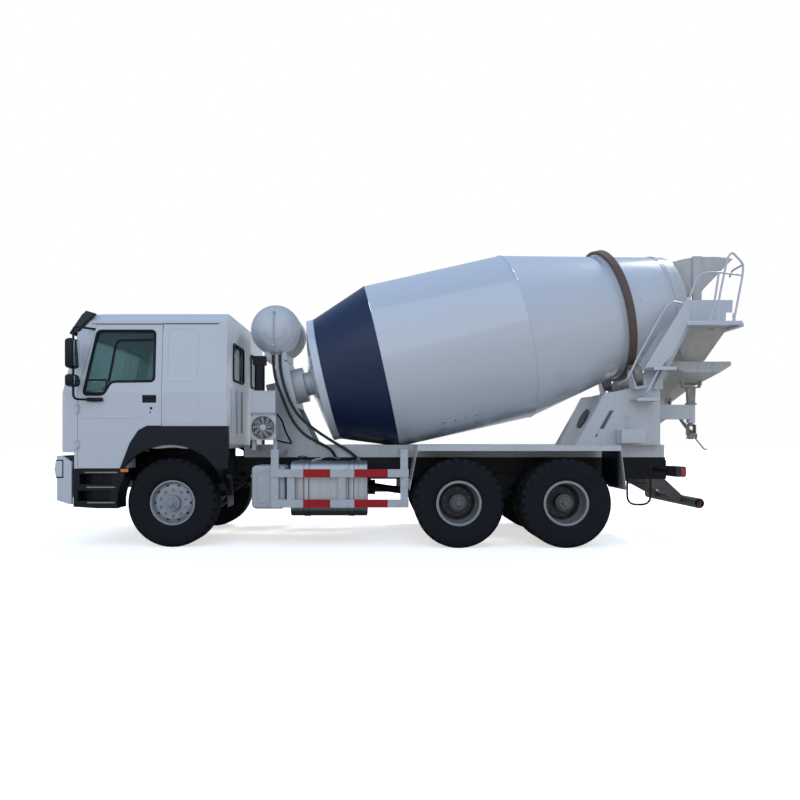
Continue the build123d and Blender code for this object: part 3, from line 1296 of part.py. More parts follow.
# Inside the cab: two seats, a bunk, the dashboard and the steering wheel
inside_z = cab_floor_z + cab_wall
with BuildPart() as seats:
    for s in (-1, 1):
        with Locations((x0 - 330, s * 700, inside_z + 120)):
            Box(420, 400, 240)
        with Locations((x0 - 330, s * 700, inside_z + 300)):
            Box(520, 520, 130)
        with BuildSketch(side_plane(s * 700)):
            closed_line([(x0 - 120, inside_z + 320), (x0 + 20, inside_z + 320), (x0 + 110, inside_z + 1100),
                         (x0 + 10, inside_z + 1100)])
        extrude(amount=240, both=True)
    with Locations((x0 + 420, 0, 1450 + seat_gap)):
        Box(420, 2200, 430, align=(Align.CENTER, Align.CENTER, Align.MIN))
save(seats.part, "seats")
with BuildPart() as dashboard:
    with BuildSketch(side_plane(0)):
        closed_line([(x0 - 1270, inside_z), (x0 - 1000, inside_z), (x0 - 880, inside_z + 480),
                     (x0 - 980, inside_z + 640), (x0 - 1220, inside_z + 660)])
    extrude(amount=1100, both=True)
    with Locations((x0 - 1100, 0, 1370)):
        Box(500, 880, 170, mode=Mode.SUBTRACT)
    with BuildSketch(Plane(origin=(x0 - 860, -700, 1919), x_dir=(0, 1, 0), z_dir=(0.5, 0, 0.866))):
        Circle(30)
    extrude(amount=-240)
    with BuildSketch(Plane(origin=(x0 - 860, -700, 1919), x_dir=(0, 1, 0), z_dir=(0.5, 0, 0.866))):
        Circle(230)
        Circle(200, mode=Mode.SUBTRACT)
        Rectangle(420, 40)
    extrude(amount=25)
save(dashboard.part, "dashboard")

# Hoses from the tank's outlet down to the chassis -------------------------------------------------
hose_r = 20
hose_side = rail_y + hose_r + seat_gap
hose_top = pedestal_y + 8 + hose_r + seat_gap
water_route = [
    (1240, -hose_top, 2580), (1238, -hose_top, 2330), (1340, -430, 1990), (1480, -490, 1720), (1690, -520, 1530),
    (1990, -500, 1330), (2220, -460, 1200), (2350, -hose_side, 1075),
]
drain_route = [
    (1150, -hose_top, 2580), (1148, -hose_top, 2280), (1290, -450, 1930), (1420, -530, 1640), (1600, -580, 1420),
    (1850, -560, 1300), (2010, -480, 1190), (2060, -hose_side, 1010),
]


def hose(route):
    """Round hose along a route; every corner is as large an arc as its two runs allow."""
    points = [Vector(x0 + x, y, z) for x, y, z in route]
    radii = []
    for before, point, after in zip(points, points[1:], points[2:]):
        into, out = point - before, after - point
        turn = radians(into.get_angle(out))
        radii.append(0.45 * min(into.length, out.length) / tan(turn / 2))
    print("hose radii", [round(r) for r in radii])
    with BuildPart() as pipe:
        with BuildLine() as path:
            FilletPolyline(*points, radius=radii)
        with BuildSketch(Plane(origin=path.line @ 0, z_dir=path.line % 0)) as section:
            Circle(hose_r)
        sweep(section.sketch, path=path.line)
    length = sum(edge.length for edge in path.edges())
    print("hose length", round(length), "volume ratio", round(pipe.part.volume / (length * 3.14159 * hose_r**2), 4))
    return pipe.part


save(hose(water_route), "water_hose")
save(hose(drain_route), "drain_hose")
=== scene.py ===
# %% [markdown]
# # A concrete mixer truck
# The truck's structure is ready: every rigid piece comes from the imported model, already in place
# and joined by its joints. This lesson gives it finishes, and adds the small fittings that make
# it a used working truck: window rubbers, nuts, lamps, welds, straps, a fan and hoses.
# Everything is in metres. X points to the rear of the truck, Y to its right side, Z up.

# %% Frame
import json
import math

import bpy
from mathutils import Matrix, Vector

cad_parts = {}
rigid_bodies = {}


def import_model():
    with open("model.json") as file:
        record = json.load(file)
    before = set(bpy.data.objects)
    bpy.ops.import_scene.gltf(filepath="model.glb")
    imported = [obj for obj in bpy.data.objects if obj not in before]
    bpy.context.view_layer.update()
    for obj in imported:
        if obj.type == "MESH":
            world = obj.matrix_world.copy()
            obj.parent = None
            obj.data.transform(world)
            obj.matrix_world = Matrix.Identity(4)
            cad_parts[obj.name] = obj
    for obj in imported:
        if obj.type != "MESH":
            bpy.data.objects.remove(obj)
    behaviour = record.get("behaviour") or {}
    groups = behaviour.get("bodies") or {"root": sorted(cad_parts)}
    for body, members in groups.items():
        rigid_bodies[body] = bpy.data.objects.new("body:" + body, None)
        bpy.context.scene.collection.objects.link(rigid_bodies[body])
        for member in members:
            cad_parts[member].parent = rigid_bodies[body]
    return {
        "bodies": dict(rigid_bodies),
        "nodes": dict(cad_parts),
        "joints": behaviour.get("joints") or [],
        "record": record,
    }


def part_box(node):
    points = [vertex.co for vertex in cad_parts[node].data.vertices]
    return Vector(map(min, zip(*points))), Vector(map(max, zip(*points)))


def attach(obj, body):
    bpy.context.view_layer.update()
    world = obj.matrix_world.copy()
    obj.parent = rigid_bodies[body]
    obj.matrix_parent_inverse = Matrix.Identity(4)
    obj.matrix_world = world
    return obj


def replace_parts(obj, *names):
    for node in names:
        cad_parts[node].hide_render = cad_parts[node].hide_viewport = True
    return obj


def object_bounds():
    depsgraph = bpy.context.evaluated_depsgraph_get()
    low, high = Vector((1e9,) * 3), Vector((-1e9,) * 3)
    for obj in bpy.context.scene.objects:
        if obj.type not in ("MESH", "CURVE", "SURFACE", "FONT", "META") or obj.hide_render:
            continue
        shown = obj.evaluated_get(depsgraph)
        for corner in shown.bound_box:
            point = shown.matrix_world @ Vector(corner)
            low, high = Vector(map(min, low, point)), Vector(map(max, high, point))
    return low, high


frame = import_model()
nodes = frame["nodes"]
low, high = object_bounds()
print("model box", [round(v, 3) for v in (*low, *high)])

# %% [markdown]
# Places along the truck are easiest to read from the front axle, whose place comes from the
# front tyre. The drum has its own axis, which leans back; two small functions go between the
# drum's axis and the truck's frame.

# %% Places
LEFT, RIGHT = -1, 1
SIDES = (("left", LEFT), ("right", RIGHT))
tyre_low, tyre_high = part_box("front_tyre_left")
axle_x = (tyre_low.x + tyre_high.x) / 2
wheel_z = (tyre_low.z + tyre_high.z) / 2
tyre_radius = (tyre_high.z - tyre_low.z) / 2
side_y = 1.24  # half the width over the cab
MID_AXLE, REAR_AXLE = 3.625, 4.975  # behind the front axle
drum_joint = next(j for j in frame["joints"] if j["name"] == "drum_spin")
drum_origin, drum_axis = Vector(drum_joint["pos_m"]), Vector(drum_joint["axis"]).normalized()


def on_drum(along, radius=0.0, turn=0.0):
    """Point at a distance along the drum's axis, a radius from it, and a turn from straight up."""
    up = Vector((-drum_axis.z, 0, drum_axis.x))
    across = Vector((0, 1, 0)) * radius * math.sin(turn)
    return drum_origin + drum_axis * along + up * radius * math.cos(turn) + across


def at(x, y, z):
    """Point from the front axle, the middle plane and the ground."""
    return Vector((axle_x + x, y, z))


print("front axle at", round(axle_x, 3), "wheel centre height", round(wheel_z, 3))

# %% [markdown]
# The camera stands square to the truck's left side, at the height of a person's chest, and the
# lens is shifted a little so that the horizon sits low while the upright lines stay upright.

# %% Camera
camera_data = bpy.data.cameras.new("camera")
camera_data.sensor_width = 36
lens_per_width = 0.79875
camera_data.lens = camera_data.sensor_width * lens_per_width
camera_data.shift_x = 0.0218
camera_data.shift_y = 0.05
camera_data.clip_end = 200
camera = bpy.data.objects.new("camera", camera_data)
camera.location = at(2.665, -9.24, 1.357)
camera.rotation_euler = (math.radians(90), 0, 0)
bpy.context.scene.collection.objects.link(camera)
bpy.context.scene.camera = camera
bpy.context.scene.view_settings.view_transform = "Standard"
print("lens", round(camera_data.lens, 2), "mm")

# %% [markdown]
# Shader maths reads best as plain expressions. `Wire` wraps a node's output so that `+ - * /`
# add Math nodes, and `Finish` makes one material: its `node` method adds any other node, with
# its settings first and its sockets after.


# %% Wire and Finish
class Wire:
    """One output socket of a material, usable in arithmetic."""

    def __init__(self, finish, socket):
        self.finish, self.socket = finish, socket

    def math(self, operation, *others, clamp=False):
        values = dict(enumerate((self, *others)))
        return self.finish.node("ShaderNodeMath", dict(operation=operation, use_clamp=clamp), values)

    def __add__(self, other):
        return self.math("ADD", other)

    def __sub__(self, other):
        return self.math("SUBTRACT", other)

    def __rsub__(self, other):
        return self.finish.node("ShaderNodeMath", dict(operation="SUBTRACT"), {0: other, 1: self})

    def __mul__(self, other):
        return self.math("MULTIPLY", other)

    def __truediv__(self, other):
        return self.math("DIVIDE", other)

    __radd__, __rmul__ = __add__, __mul__

    def above(self, edge, soft=0.0):
        """0 below an edge and 1 above it, with a soft step if one is asked for."""
        if soft == 0:
            return self.math("GREATER_THAN", edge)
        return (self - (edge - soft / 2)).math("DIVIDE", soft, clamp=True)

    def between(self, start, end, soft=0.0):
        return self.above(start, soft) * (1 - self.above(end, soft))


class Finish:
    """One material, built node by node around a Principled shader."""

    def __init__(self, name, colour, roughness=0.5, metallic=0.0, **sockets):
        self.material = bpy.data.materials.new(name)
        self.material.use_nodes = True
        self.tree = self.material.node_tree
        self.shader = self.tree.nodes["Principled BSDF"]
        self.sockets(**{"Base Color": (*colour, 1), "Roughness": roughness, "Metallic": metallic}, **sockets)

    def sockets(self, **values):
        for name, value in values.items():
            self.plug(self.shader.inputs[name.replace("_", " ")], value)

    def plug(self, socket, value):
        if isinstance(value, Wire):
            self.tree.links.new(value.socket, socket)
        else:
            socket.default_value = value

    def node(self, kind, settings=None, inputs=None, output=0):
        new = self.tree.nodes.new(kind)
        for name, value in (settings or {}).items():
            setattr(new, name, value)
        for name, value in (inputs or {}).items():
            self.plug(new.inputs[name], value)
        return Wire(self, new.outputs[output])

    def place(self):
        """X, Y and Z of the point being shaded, in the truck's frame."""
        if not hasattr(self, "coordinates"):
            self.coordinates = self.node("ShaderNodeTexCoord", output="Object")
            split = self.node("ShaderNodeSeparateXYZ", None, {0: self.coordinates})
            outputs = split.socket.node.outputs
            self.x, self.y, self.z = (Wire(self, outputs[i]) for i in range(3))
        return self.x, self.y, self.z

    def noise(self, scale, detail=3.0, roughness=0.55, stretch=(1, 1, 1)):
        self.place()
        spread = self.node("ShaderNodeMapping", None, {"Vector": self.coordinates, "Scale": stretch})
        return self.node("ShaderNodeTexNoise", None,
                         {"Vector": spread, "Scale": scale, "Detail": detail, "Roughness": roughness})

    def mix(self, share, first, second):
        """Blend of two colours or colour wires by a share from 0 to 1."""
        wide = [value if isinstance(value, Wire) else (*value, 1) for value in (first, second)]
        return self.node("ShaderNodeMix", dict(data_type="RGBA"), {0: share, 6: wide[0], 7: wide[1]},
                         output=2)

    def bump(self, height, strength=0.3, distance=0.002):
        self.sockets(Normal=self.node("ShaderNodeBump", None,
                                      {"Height": height, "Strength": strength, "Distance": distance}))


def paint(names, finish):
    """Give a finish to nodes or pieces, by name, all over."""
    for name in names.split():
        piece = bpy.data.objects[name]
        piece.data.materials.clear()
        piece.data.materials.append(finish.material)


print("Wire and Finish are ready")

# %% [markdown]
# The truck stands on a pale studio floor in the open shade of a clear day. The sky is blue above
# and paler at the horizon, a low sun comes from behind the truck, and the floor throws a sandy
# light back up, which warms the drum's underside. To the camera the surroundings are white.

# %% Studio
world = bpy.data.worlds.new("studio")
world.use_nodes = True
bpy.context.scene.world = world
sky = world.node_tree
background = sky.nodes["Background"]
rays = sky.nodes.new("ShaderNodeLightPath")
seen = sky.nodes.new("ShaderNodeMath")
seen.operation = "MAXIMUM"
sky.links.new(rays.outputs["Is Camera Ray"], seen.inputs[0])
sky.links.new(rays.outputs["Is Transmission Ray"], seen.inputs[1])
shade = sky.nodes.new("ShaderNodeMix")
shade.data_type = "RGBA"
shade.inputs[7].default_value = (1, 1, 1, 1)
direction = sky.nodes.new("ShaderNodeTexCoord")
height = sky.nodes.new("ShaderNodeSeparateXYZ")
sky.links.new(direction.outputs["Generated"], height.inputs[0])
slope = sky.nodes.new("ShaderNodeValToRGB")
slope.color_ramp.elements[0].color = (0.66, 0.68, 0.69, 1)
slope.color_ramp.elements[1].color = (0.15, 0.31, 0.64, 1)
sky.links.new(height.outputs["Z"], slope.inputs[0])
sky.links.new(slope.outputs[0], shade.inputs[6])
sky.links.new(seen.outputs[0], shade.inputs[0])
sky.links.new(shade.outputs[2], background.inputs[0])
background.inputs[1].default_value = 1.0


def sun(name, direction, spread, power, colour):
    lamp = bpy.data.lights.new(name, "SUN")
    lamp.angle, lamp.energy, lamp.color = math.radians(spread), power, colour
    piece = bpy.data.objects.new(name, lamp)
    piece.rotation_euler = Vector(direction).to_track_quat("-Z", "Y").to_euler()
    bpy.context.scene.collection.objects.link(piece)


sun("late_sun", (-0.55, -0.42, -0.80), 14, 1.7, (1.0, 0.95, 0.86))
sun("open_shade", (0.25, 0.85, -0.75), 70, 0.75, (0.86, 0.93, 1.0))

ground = Finish("studio_floor", (0.8, 0.77, 0.7), 0.9, Emission_Strength=1.0)
ground_rays = ground.node("ShaderNodeLightPath", output="Is Camera Ray")
ground.sockets(**{"Base Color": ground.mix(ground_rays, (0.50, 0.46, 0.40), (0.97, 0.97, 0.97)),
                  "Emission Color": ground.mix(ground_rays, (0, 0, 0), (0.62, 0.61, 0.59))})
bpy.ops.mesh.primitive_plane_add(size=160, location=(0, 0, -0.001))
floor = bpy.context.object
floor.name = "floor"
floor.data.materials.append(ground.material)
print("floor and lamps placed")

# %% [markdown]
# White truck paint is never one colour. It has a faint orange peel, dust that gathers towards the
# ground, and thin dirt where water runs. `white_paint` makes such a finish, with the amount of
# dust and rust chosen for each part of the truck: the cab is washed, the mixer's frame is not.


# %% White paints
def white_paint(name, dust=0.25, rust=0.0, dust_top=1.6):
    finish = Finish(name, PAINT_WHITE, 0.32, Coat_Weight=0.35, Coat_Roughness=0.12)
    x, y, z = finish.place()
    cloud = finish.noise(1.3, 4)
    grain = finish.noise(22, 3)
    streaks = finish.noise(5, 4, stretch=(3, 3, 0.25))
    low_down = 1 - z.above(dust_top / 2, dust_top)
    dirt = (low_down * 0.7 + 0.18) * (cloud * 0.6 + streaks * 0.6 + grain * 0.2 - 0.25).math("MAXIMUM", 0.0)
    dirt = (dirt * (dust * 2.2)).math("MINIMUM", 0.8)
    colour = finish.mix(dirt, finish.mix(cloud * 0.35, PAINT_WHITE, PAINT_SHADE), DUST)
    rough = dirt * 0.5 + 0.28 + grain * 0.06
    if rust:
        spots = finish.noise(9, 6, 0.7) * 0.6 + finish.noise(45, 3) * 0.4
        spots = spots.above(0.66 - rust * 0.08, 0.05) * rust
        colour = finish.mix(spots, colour, RUST)
        rough = rough + spots * 0.3
    finish.sockets(**{"Base Color": colour, "Roughness": rough})
    finish.bump(finish.noise(160, 2) * 0.4 + cloud * 2, 0.06, 0.002)
    return finish


PAINT_WHITE, PAINT_SHADE = (0.60, 0.645, 0.70), (0.54, 0.58, 0.63)
DUST, RUST = (0.42, 0.38, 0.31), (0.16, 0.065, 0.03)
cab_white = white_paint("cab_white", dust=0.12)
mixer_white = white_paint("mixer_white", dust=0.55, rust=0.35, dust_top=2.6)
hopper_white = white_paint("hopper_white", dust=1.0, rust=0.5, dust_top=6.0)
paint("cab_shell door_left door_right front_lid bumper", cab_white)
paint("subframe rear_deck rear_pedestal platform oil_cooler drum_gearbox", mixer_white)
paint("charging_hopper discharge_hopper chute", hopper_white)
print("white paints:", cab_white.material.name, mixer_white.material.name, hopper_white.material.name)

# %% [markdown]
# The drum is painted as one body: white, with a navy band on its front cone. Its finish reads the
# distance along the drum's own axis and from that axis, so the band, the bare rolling ring and
# the cement that dries round the mouth all turn with it.

# %% Drum paint
drum_paint = Finish("drum_paint", PAINT_WHITE, 0.22, Coat_Weight=1.0, Coat_Roughness=0.05)
x, y, z = drum_paint.place()
along = (x - drum_origin.x) * drum_axis.x + (z - drum_origin.z) * drum_axis.z
up = (z - drum_origin.z) * drum_axis.x - (x - drum_origin.x) * drum_axis.z
radius = (up * up + y * y).math("SQRT")
band_start, band_end = -0.79, 0.003
cloud, grain = drum_paint.noise(1.1, 4), drum_paint.noise(26, 3)
band = along.between(band_start, band_end)
ring = along.between(3.262, 3.366) * radius.above(0.895)
mouth = along.above(3.95, 0.35) * (cloud * 0.7 + grain * 0.6 - 0.3).math("MAXIMUM", 0.0)
white = drum_paint.mix(cloud * 0.4, PAINT_WHITE, PAINT_SHADE)
splashes = (drum_paint.noise(7, 6, 0.7) * 0.75 + grain * 0.25).above(0.62, 0.06) * along.above(2.6, 1.6) * 0.5
white = drum_paint.mix(splashes + mouth * 0.8, white, DUST)
navy = drum_paint.mix(grain * 0.3, (0.0006, 0.012, 0.06), (0.001, 0.016, 0.072))
rusty = drum_paint.mix(grain, (0.075, 0.05, 0.038), (0.15, 0.10, 0.075))
colour = drum_paint.mix(ring, drum_paint.mix(band, white, navy), rusty)
drum_paint.sockets(**{
    "Base Color": colour,
    "Roughness": 0.2 + grain * 0.08 + mouth * 0.4 + splashes * 0.4 + ring * 0.3 + band * 0.2,
    "Coat Weight": 1.0 - ring - band * 0.85,
})
turn = y.math("ARCTAN2", up)
rolled = (turn * 6).math("SINE") * 0.6 + cloud * 2.5
drum_paint.bump(rolled + grain * 0.1, 0.16, 0.006)
print("navy band from", band_start, "to", band_end, "m along the axis")

# %% [markdown]
# Rubber, black steel and black plastic look different mostly through their roughness and the
# dust on them. The tyre finish also carries what a mould leaves: ribs round the side wall, and
# a tread of blocks cut by zigzag grooves. It needs the wheel's centre, so each axle has its own.


# %% Tyres
def tyre_finish(name, centre_x, middles):
    finish = Finish(name, (0.02, 0.021, 0.023), 0.75, Specular_IOR_Level=0.14)
    x, y, z = finish.place()
    across, up = x - centre_x, z - wheel_z
    radius = (across * across + up * up).math("SQRT")
    turn = up.math("ARCTAN2", across)
    widths = [(y.math("ABSOLUTE") - middle).math("ABSOLUTE") for middle in middles]
    width = widths[0] if len(widths) == 1 else widths[0].math("MINIMUM", widths[1])
    tread = radius.above(tyre_radius - 0.03, 0.012)
    zigzag = (turn * 48).math("PINGPONG", 1.0) * 0.012
    grooves = (width + zigzag - 0.052).math("ABSOLUTE")
    grooves = 1 - grooves.above(0.007, 0.004)
    middle_groove = 1 - (width + zigzag * 0.6 - 0.004).above(0.006, 0.004)
    shoulder = width.above(0.088, 0.006) * (turn * 30).math("SINE").above(0.45, 0.3)
    cut = (grooves + middle_groove + shoulder).math("MINIMUM", 1.0) * tread
    ribs = (radius * 900).math("SINE") * radius.between(0.33, 0.36) * 0.3
    ribs = ribs + radius.between(0.405, 0.41) + radius.between(0.475, 0.484) + radius.between(0.505, 0.509)
    notches = (turn * 90).math("SINE").above(0.0, 0.4) * radius.between(0.512, 0.548, 0.006)
    dust = finish.noise(6, 5) * 0.7 + finish.noise(60, 2) * 0.3
    # The grooves get no dust or wear, so they stay near-black: painted shade in the grooves.
    colour = finish.mix((dust * 0.55 + tread * 0.12) * (1 - cut), (0.004, 0.007, 0.011),
                        (0.032, 0.033, 0.034))
    finish.sockets(**{"Base Color": colour, "Roughness": 0.62 + dust * 0.25})
    finish.bump(ribs * 0.5 + notches * 0.5 - cut * 3 + dust * 0.1, 0.9, 0.004)
    return finish


twin_middle, twin_pitch = 0.915, 0.350
twins = (twin_middle - twin_pitch / 2, twin_middle + twin_pitch / 2)
for axle, names, middles in (
    (0, "front_tyre_left front_tyre_right", (1.011,)),
    (MID_AXLE, "mid_tyres_left mid_tyres_right", twins),
    (REAR_AXLE, "rear_tyres_left rear_tyres_right", twins),
):
    paint(names, tyre_finish("tyre_" + names.split("_")[0], axle_x + axle, middles))
print("three tyre finishes")

# %% [markdown]
# The other finishes are simple ones with one honest flaw each: dust on the chassis, brushed
# streaks on the tank, sun-bleached dull plastic, a teal tint in the glass.

# %% Other finishes
def dusty(name, colour, dusted, roughness, metallic=0.0, scale=5, amount=0.5, **sockets):
    finish = Finish(name, colour, roughness, metallic, **sockets)
    spread = finish.noise(scale, 5) * 0.7 + finish.noise(scale * 9, 2) * 0.3
    share = (spread - 0.35).math("MAXIMUM", 0.0) * (amount * 3)
    share = share.math("MINIMUM", 0.9)
    finish.sockets(**{"Base Color": finish.mix(share, colour, dusted), "Roughness": roughness + share * 0.3})
    finish.bump(finish.noise(scale * 20, 3), 0.12, 0.002)
    return finish


chassis_black = dusty("chassis_black", (0.003, 0.004, 0.006), (0.035, 0.034, 0.032), 0.42, amount=0.25,
                      Specular_IOR_Level=0.22)
plastic_black = dusty("plastic_black", (0.002, 0.005, 0.010), (0.014, 0.017, 0.022), 0.36, scale=3,
                      amount=0.16,
                      Specular_IOR_Level=0.28)
rubber_black = dusty("rubber_black", (0.005, 0.006, 0.008), (0.03, 0.03, 0.03), 0.55, amount=0.3,
                     Specular_IOR_Level=0.25)
grey_cover = dusty("grey_cover", (0.46, 0.49, 0.51), (0.36, 0.34, 0.30), 0.5, scale=3, amount=0.35)
steel_worn = dusty("steel_worn", (0.35, 0.34, 0.33), (0.16, 0.11, 0.08), 0.45, 0.6, scale=8, amount=0.6)
hub_steel = dusty("hub_steel", (0.16, 0.165, 0.17), (0.09, 0.075, 0.06), 0.4, 0.5, scale=12, amount=0.5)
rim_silver = dusty("rim_silver", (0.36, 0.39, 0.43), (0.22, 0.21, 0.19), 0.38, 0.45, scale=8, amount=0.4)
tank_silver = dusty("tank_silver", (0.52, 0.56, 0.60), (0.38, 0.36, 0.33), 0.33, 0.35, scale=2, amount=0.3)
dash_grey = dusty("dash_grey", (0.10, 0.105, 0.11), (0.15, 0.15, 0.15), 0.6, amount=0.2)
window_glass = Finish("window_glass", (0.12, 0.27, 0.29), 0.03, Transmission_Weight=0.82, IOR=1.25,
                      Alpha=0.72)
visor_smoke = Finish("visor_smoke", (0.004, 0.006, 0.009), 0.14, Coat_Weight=0.15, Specular_IOR_Level=0.3)
mirror_silver = Finish("mirror_silver", (0.75, 0.78, 0.8), 0.03, 1.0)
lens_red = Finish("lens_red", (0.38, 0.012, 0.012), 0.12, Coat_Weight=0.8)
lens_amber = Finish("lens_amber", (0.75, 0.22, 0.02), 0.12, Coat_Weight=0.8)
lens_clear = Finish("lens_clear", (0.62, 0.67, 0.72), 0.06, Coat_Weight=1.0)
for coloured in (lens_red, lens_amber, lens_clear):
    x, y, z = coloured.place()
    flutes = (y * 260 + x * 260).math("SINE") * (z * 260).math("SINE")
    coloured.bump(flutes, 0.35, 0.002)
paint("frame front_axle rear_bogie powertrain silencer air_tanks knuckle_left knuckle_right", chassis_black)
paint("mudguards cab_steps wheel_flares air_intake mirror_left mirror_right", plastic_black)
paint("battery_box", grey_cover)
paint("front_rim_left front_rim_right", rim_silver)
paint("water_tank fuel_tank", tank_silver)
paint("roller_left roller_right chute_swivel jack_tube jack_rod", steel_worn)
paint("door_glass_left door_glass_right cab_glass", window_glass)
paint("sun_visor", visor_smoke)
paint("dashboard", dash_grey)
paint("drum", drum_paint)
print(len(bpy.data.materials), "finishes so far")

# %% [markdown]
# Three finishes follow a place on the truck. The side guards carry red patches between the
# silver ones, the underrun tube has red and white tape, and the rear rims are black inside a
# silver lip: the black is painted shade in their deep dish.

# %% Finishes that follow a place
guard_paint = Finish("guard_paint", (0.42, 0.45, 0.48), 0.42, Specular_IOR_Level=0.3)
x, y, z = guard_paint.place()
red_bars = x.between(axle_x + 1.67, axle_x + 2.01) + x.between(axle_x + 2.31, axle_x + 2.73)
red_bars = red_bars * y.math("ABSOLUTE").above(1.19) * (z.between(0.885, 0.995) + z.between(0.505, 0.615))
scuffs = guard_paint.noise(14, 5).above(0.58, 0.2) * 0.35
guard_white = guard_paint.mix(scuffs, (0.50, 0.53, 0.56), (0.34, 0.33, 0.31))
guard_red = guard_paint.mix(scuffs, (0.40, 0.006, 0.012), (0.30, 0.02, 0.03))
guard_paint.sockets(**{"Base Color": guard_paint.mix(red_bars, guard_white, guard_red),
                       "Roughness": 0.4 + scuffs * 0.6})
paint("side_guards", guard_paint)

tape_paint = Finish("tape_paint", (0.09, 0.088, 0.085), 0.5)
x, y, z = tape_paint.place()
bar_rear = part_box("underrun_bar")[1].x
tape = y.math("ABSOLUTE")
taped = (tape / 0.3).math("FRACT").above(0.5)
faded = tape_paint.noise(20, 4)

steel_dust = tape_paint.mix(faded, (0.03, 0.03, 0.032), (0.13, 0.12, 0.10))
tape_colour = tape_paint.mix(taped, (0.42, 0.42, 0.40), (0.26, 0.012, 0.015))
tape_back = x.above(bar_rear - 0.04)
tape_paint.sockets(**{"Base Color": tape_paint.mix(tape_back, steel_dust, tape_colour)})
paint("underrun_bar", tape_paint)


def rear_rim(name, centre_x):
    finish = Finish(name, (0.3, 0.32, 0.35), 0.4, 0.4)
    x, y, z = finish.place()
    across, up = x - centre_x, z - wheel_z
    radius = (across * across + up * up).math("SQRT")
    dirt = finish.noise(9, 5)
    lip = radius.above(0.232, 0.01)
    silver = finish.mix(dirt * 0.6, (0.36, 0.39, 0.42), (0.17, 0.16, 0.15))
    # Inside the silver lip the rim is painted near-black: painted shade in the wheel's deep dish.
    black = finish.mix(dirt * 0.7, (0.02, 0.022, 0.026), (0.10, 0.095, 0.09))
    finish.sockets(**{"Base Color": finish.mix(lip, black, silver), "Metallic": lip * 0.45,
                      "Roughness": 0.35 + dirt * 0.3})
    finish.bump(finish.noise(90, 3), 0.1, 0.002)
    return finish


paint("mid_rims_left mid_rims_right", rear_rim("rim_mid", axle_x + MID_AXLE))
paint("rear_rims_left rear_rims_right", rear_rim("rim_rear", axle_x + REAR_AXLE))
lamp_box = dusty("lamp_box", (0.012, 0.013, 0.015), (0.06, 0.06, 0.058), 0.4, amount=0.25)
paint("lamps", lamp_box)
for node in nodes.values():
    if not node.hide_render:
        bpy.ops.object.select_all(action="DESELECT")
        node.select_set(True)
        bpy.context.view_layer.objects.active = node
        bpy.ops.object.shade_smooth_by_angle(angle=math.radians(28))
bpy.ops.object.select_all(action="DESELECT")
print("all", len(nodes), "nodes have a finish")

# %% [markdown]
# The seats and the two hoses get a plain finish here, before the padded cushions and the smooth
# hoses made further down take their place.

# %% Plain finish under seats and hoses
paint("seats", dash_grey)
paint("water_hose drain_hose", rubber_black)
print("seats and hoses painted")

# %% [markdown]
# The fittings are made by hand-like steps. A plate is a flat curve that is given a thickness and
# a small rounded edge, then turned into a mesh. A bent tube is a curve along its middle line. A
# machined or moulded piece starts as a cube or cylinder and is shaped in edit mode. Each finished
# piece is settled: its place goes into its mesh, it gets its finish, and it rides on a body.


# %% Ways of making a piece
def settle(piece, name, finish, body, smooth=35):
    bpy.ops.object.select_all(action="DESELECT")
    piece.select_set(True)
    bpy.context.view_layer.objects.active = piece
    if piece.type != "MESH":
        bpy.ops.object.convert(target="MESH")
        piece = bpy.context.object
    bpy.ops.object.transform_apply(location=True, rotation=True, scale=True)
    bpy.ops.object.mode_set(mode="EDIT")
    bpy.ops.mesh.select_all(action="SELECT")
    bpy.ops.mesh.remove_doubles(threshold=0.00005)
    bpy.ops.mesh.normals_make_consistent(inside=False)
    bpy.ops.object.mode_set(mode="OBJECT")
    bpy.ops.object.shade_smooth_by_angle(angle=math.radians(smooth))
    piece.name = piece.data.name = name
    piece.data.materials.clear()
    piece.data.materials.append(finish.material)
    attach(piece, body)
    piece.select_set(False)
    return piece


def joined(pieces):
    """Join loose, unsettled pieces into one object."""
    bpy.ops.object.select_all(action="DESELECT")
    for piece in pieces:
        piece.select_set(True)
    bpy.context.view_layer.objects.active = pieces[0]
    bpy.ops.object.convert(target="MESH")
    bpy.ops.object.join()
    return bpy.context.object


def select_faces(piece, test):
    """Open a piece in edit mode with the faces that pass a test selected."""
    bpy.context.view_layer.objects.active = piece
    bpy.ops.object.mode_set(mode="EDIT")
    bpy.context.tool_settings.mesh_select_mode = (False, False, True)
    bpy.ops.mesh.select_all(action="DESELECT")
    bpy.ops.object.mode_set(mode="OBJECT")
    for face in piece.data.polygons:
        face.select = test(face)
    bpy.ops.object.mode_set(mode="EDIT")


def block(middle, size, edge=0.004, turn=(0, 0, 0)):
    """Box with rounded edges."""
    bpy.ops.mesh.primitive_cube_add(size=1, location=middle, rotation=turn)
    piece = bpy.context.object
    piece.scale = size
    bpy.ops.object.transform_apply(location=True, rotation=True, scale=True)
    bpy.ops.object.mode_set(mode="EDIT")
    bpy.ops.mesh.bevel(offset=min(edge, 0.45 * min(size)), segments=2, affect="EDGES")
    bpy.ops.object.mode_set(mode="OBJECT")
    return piece


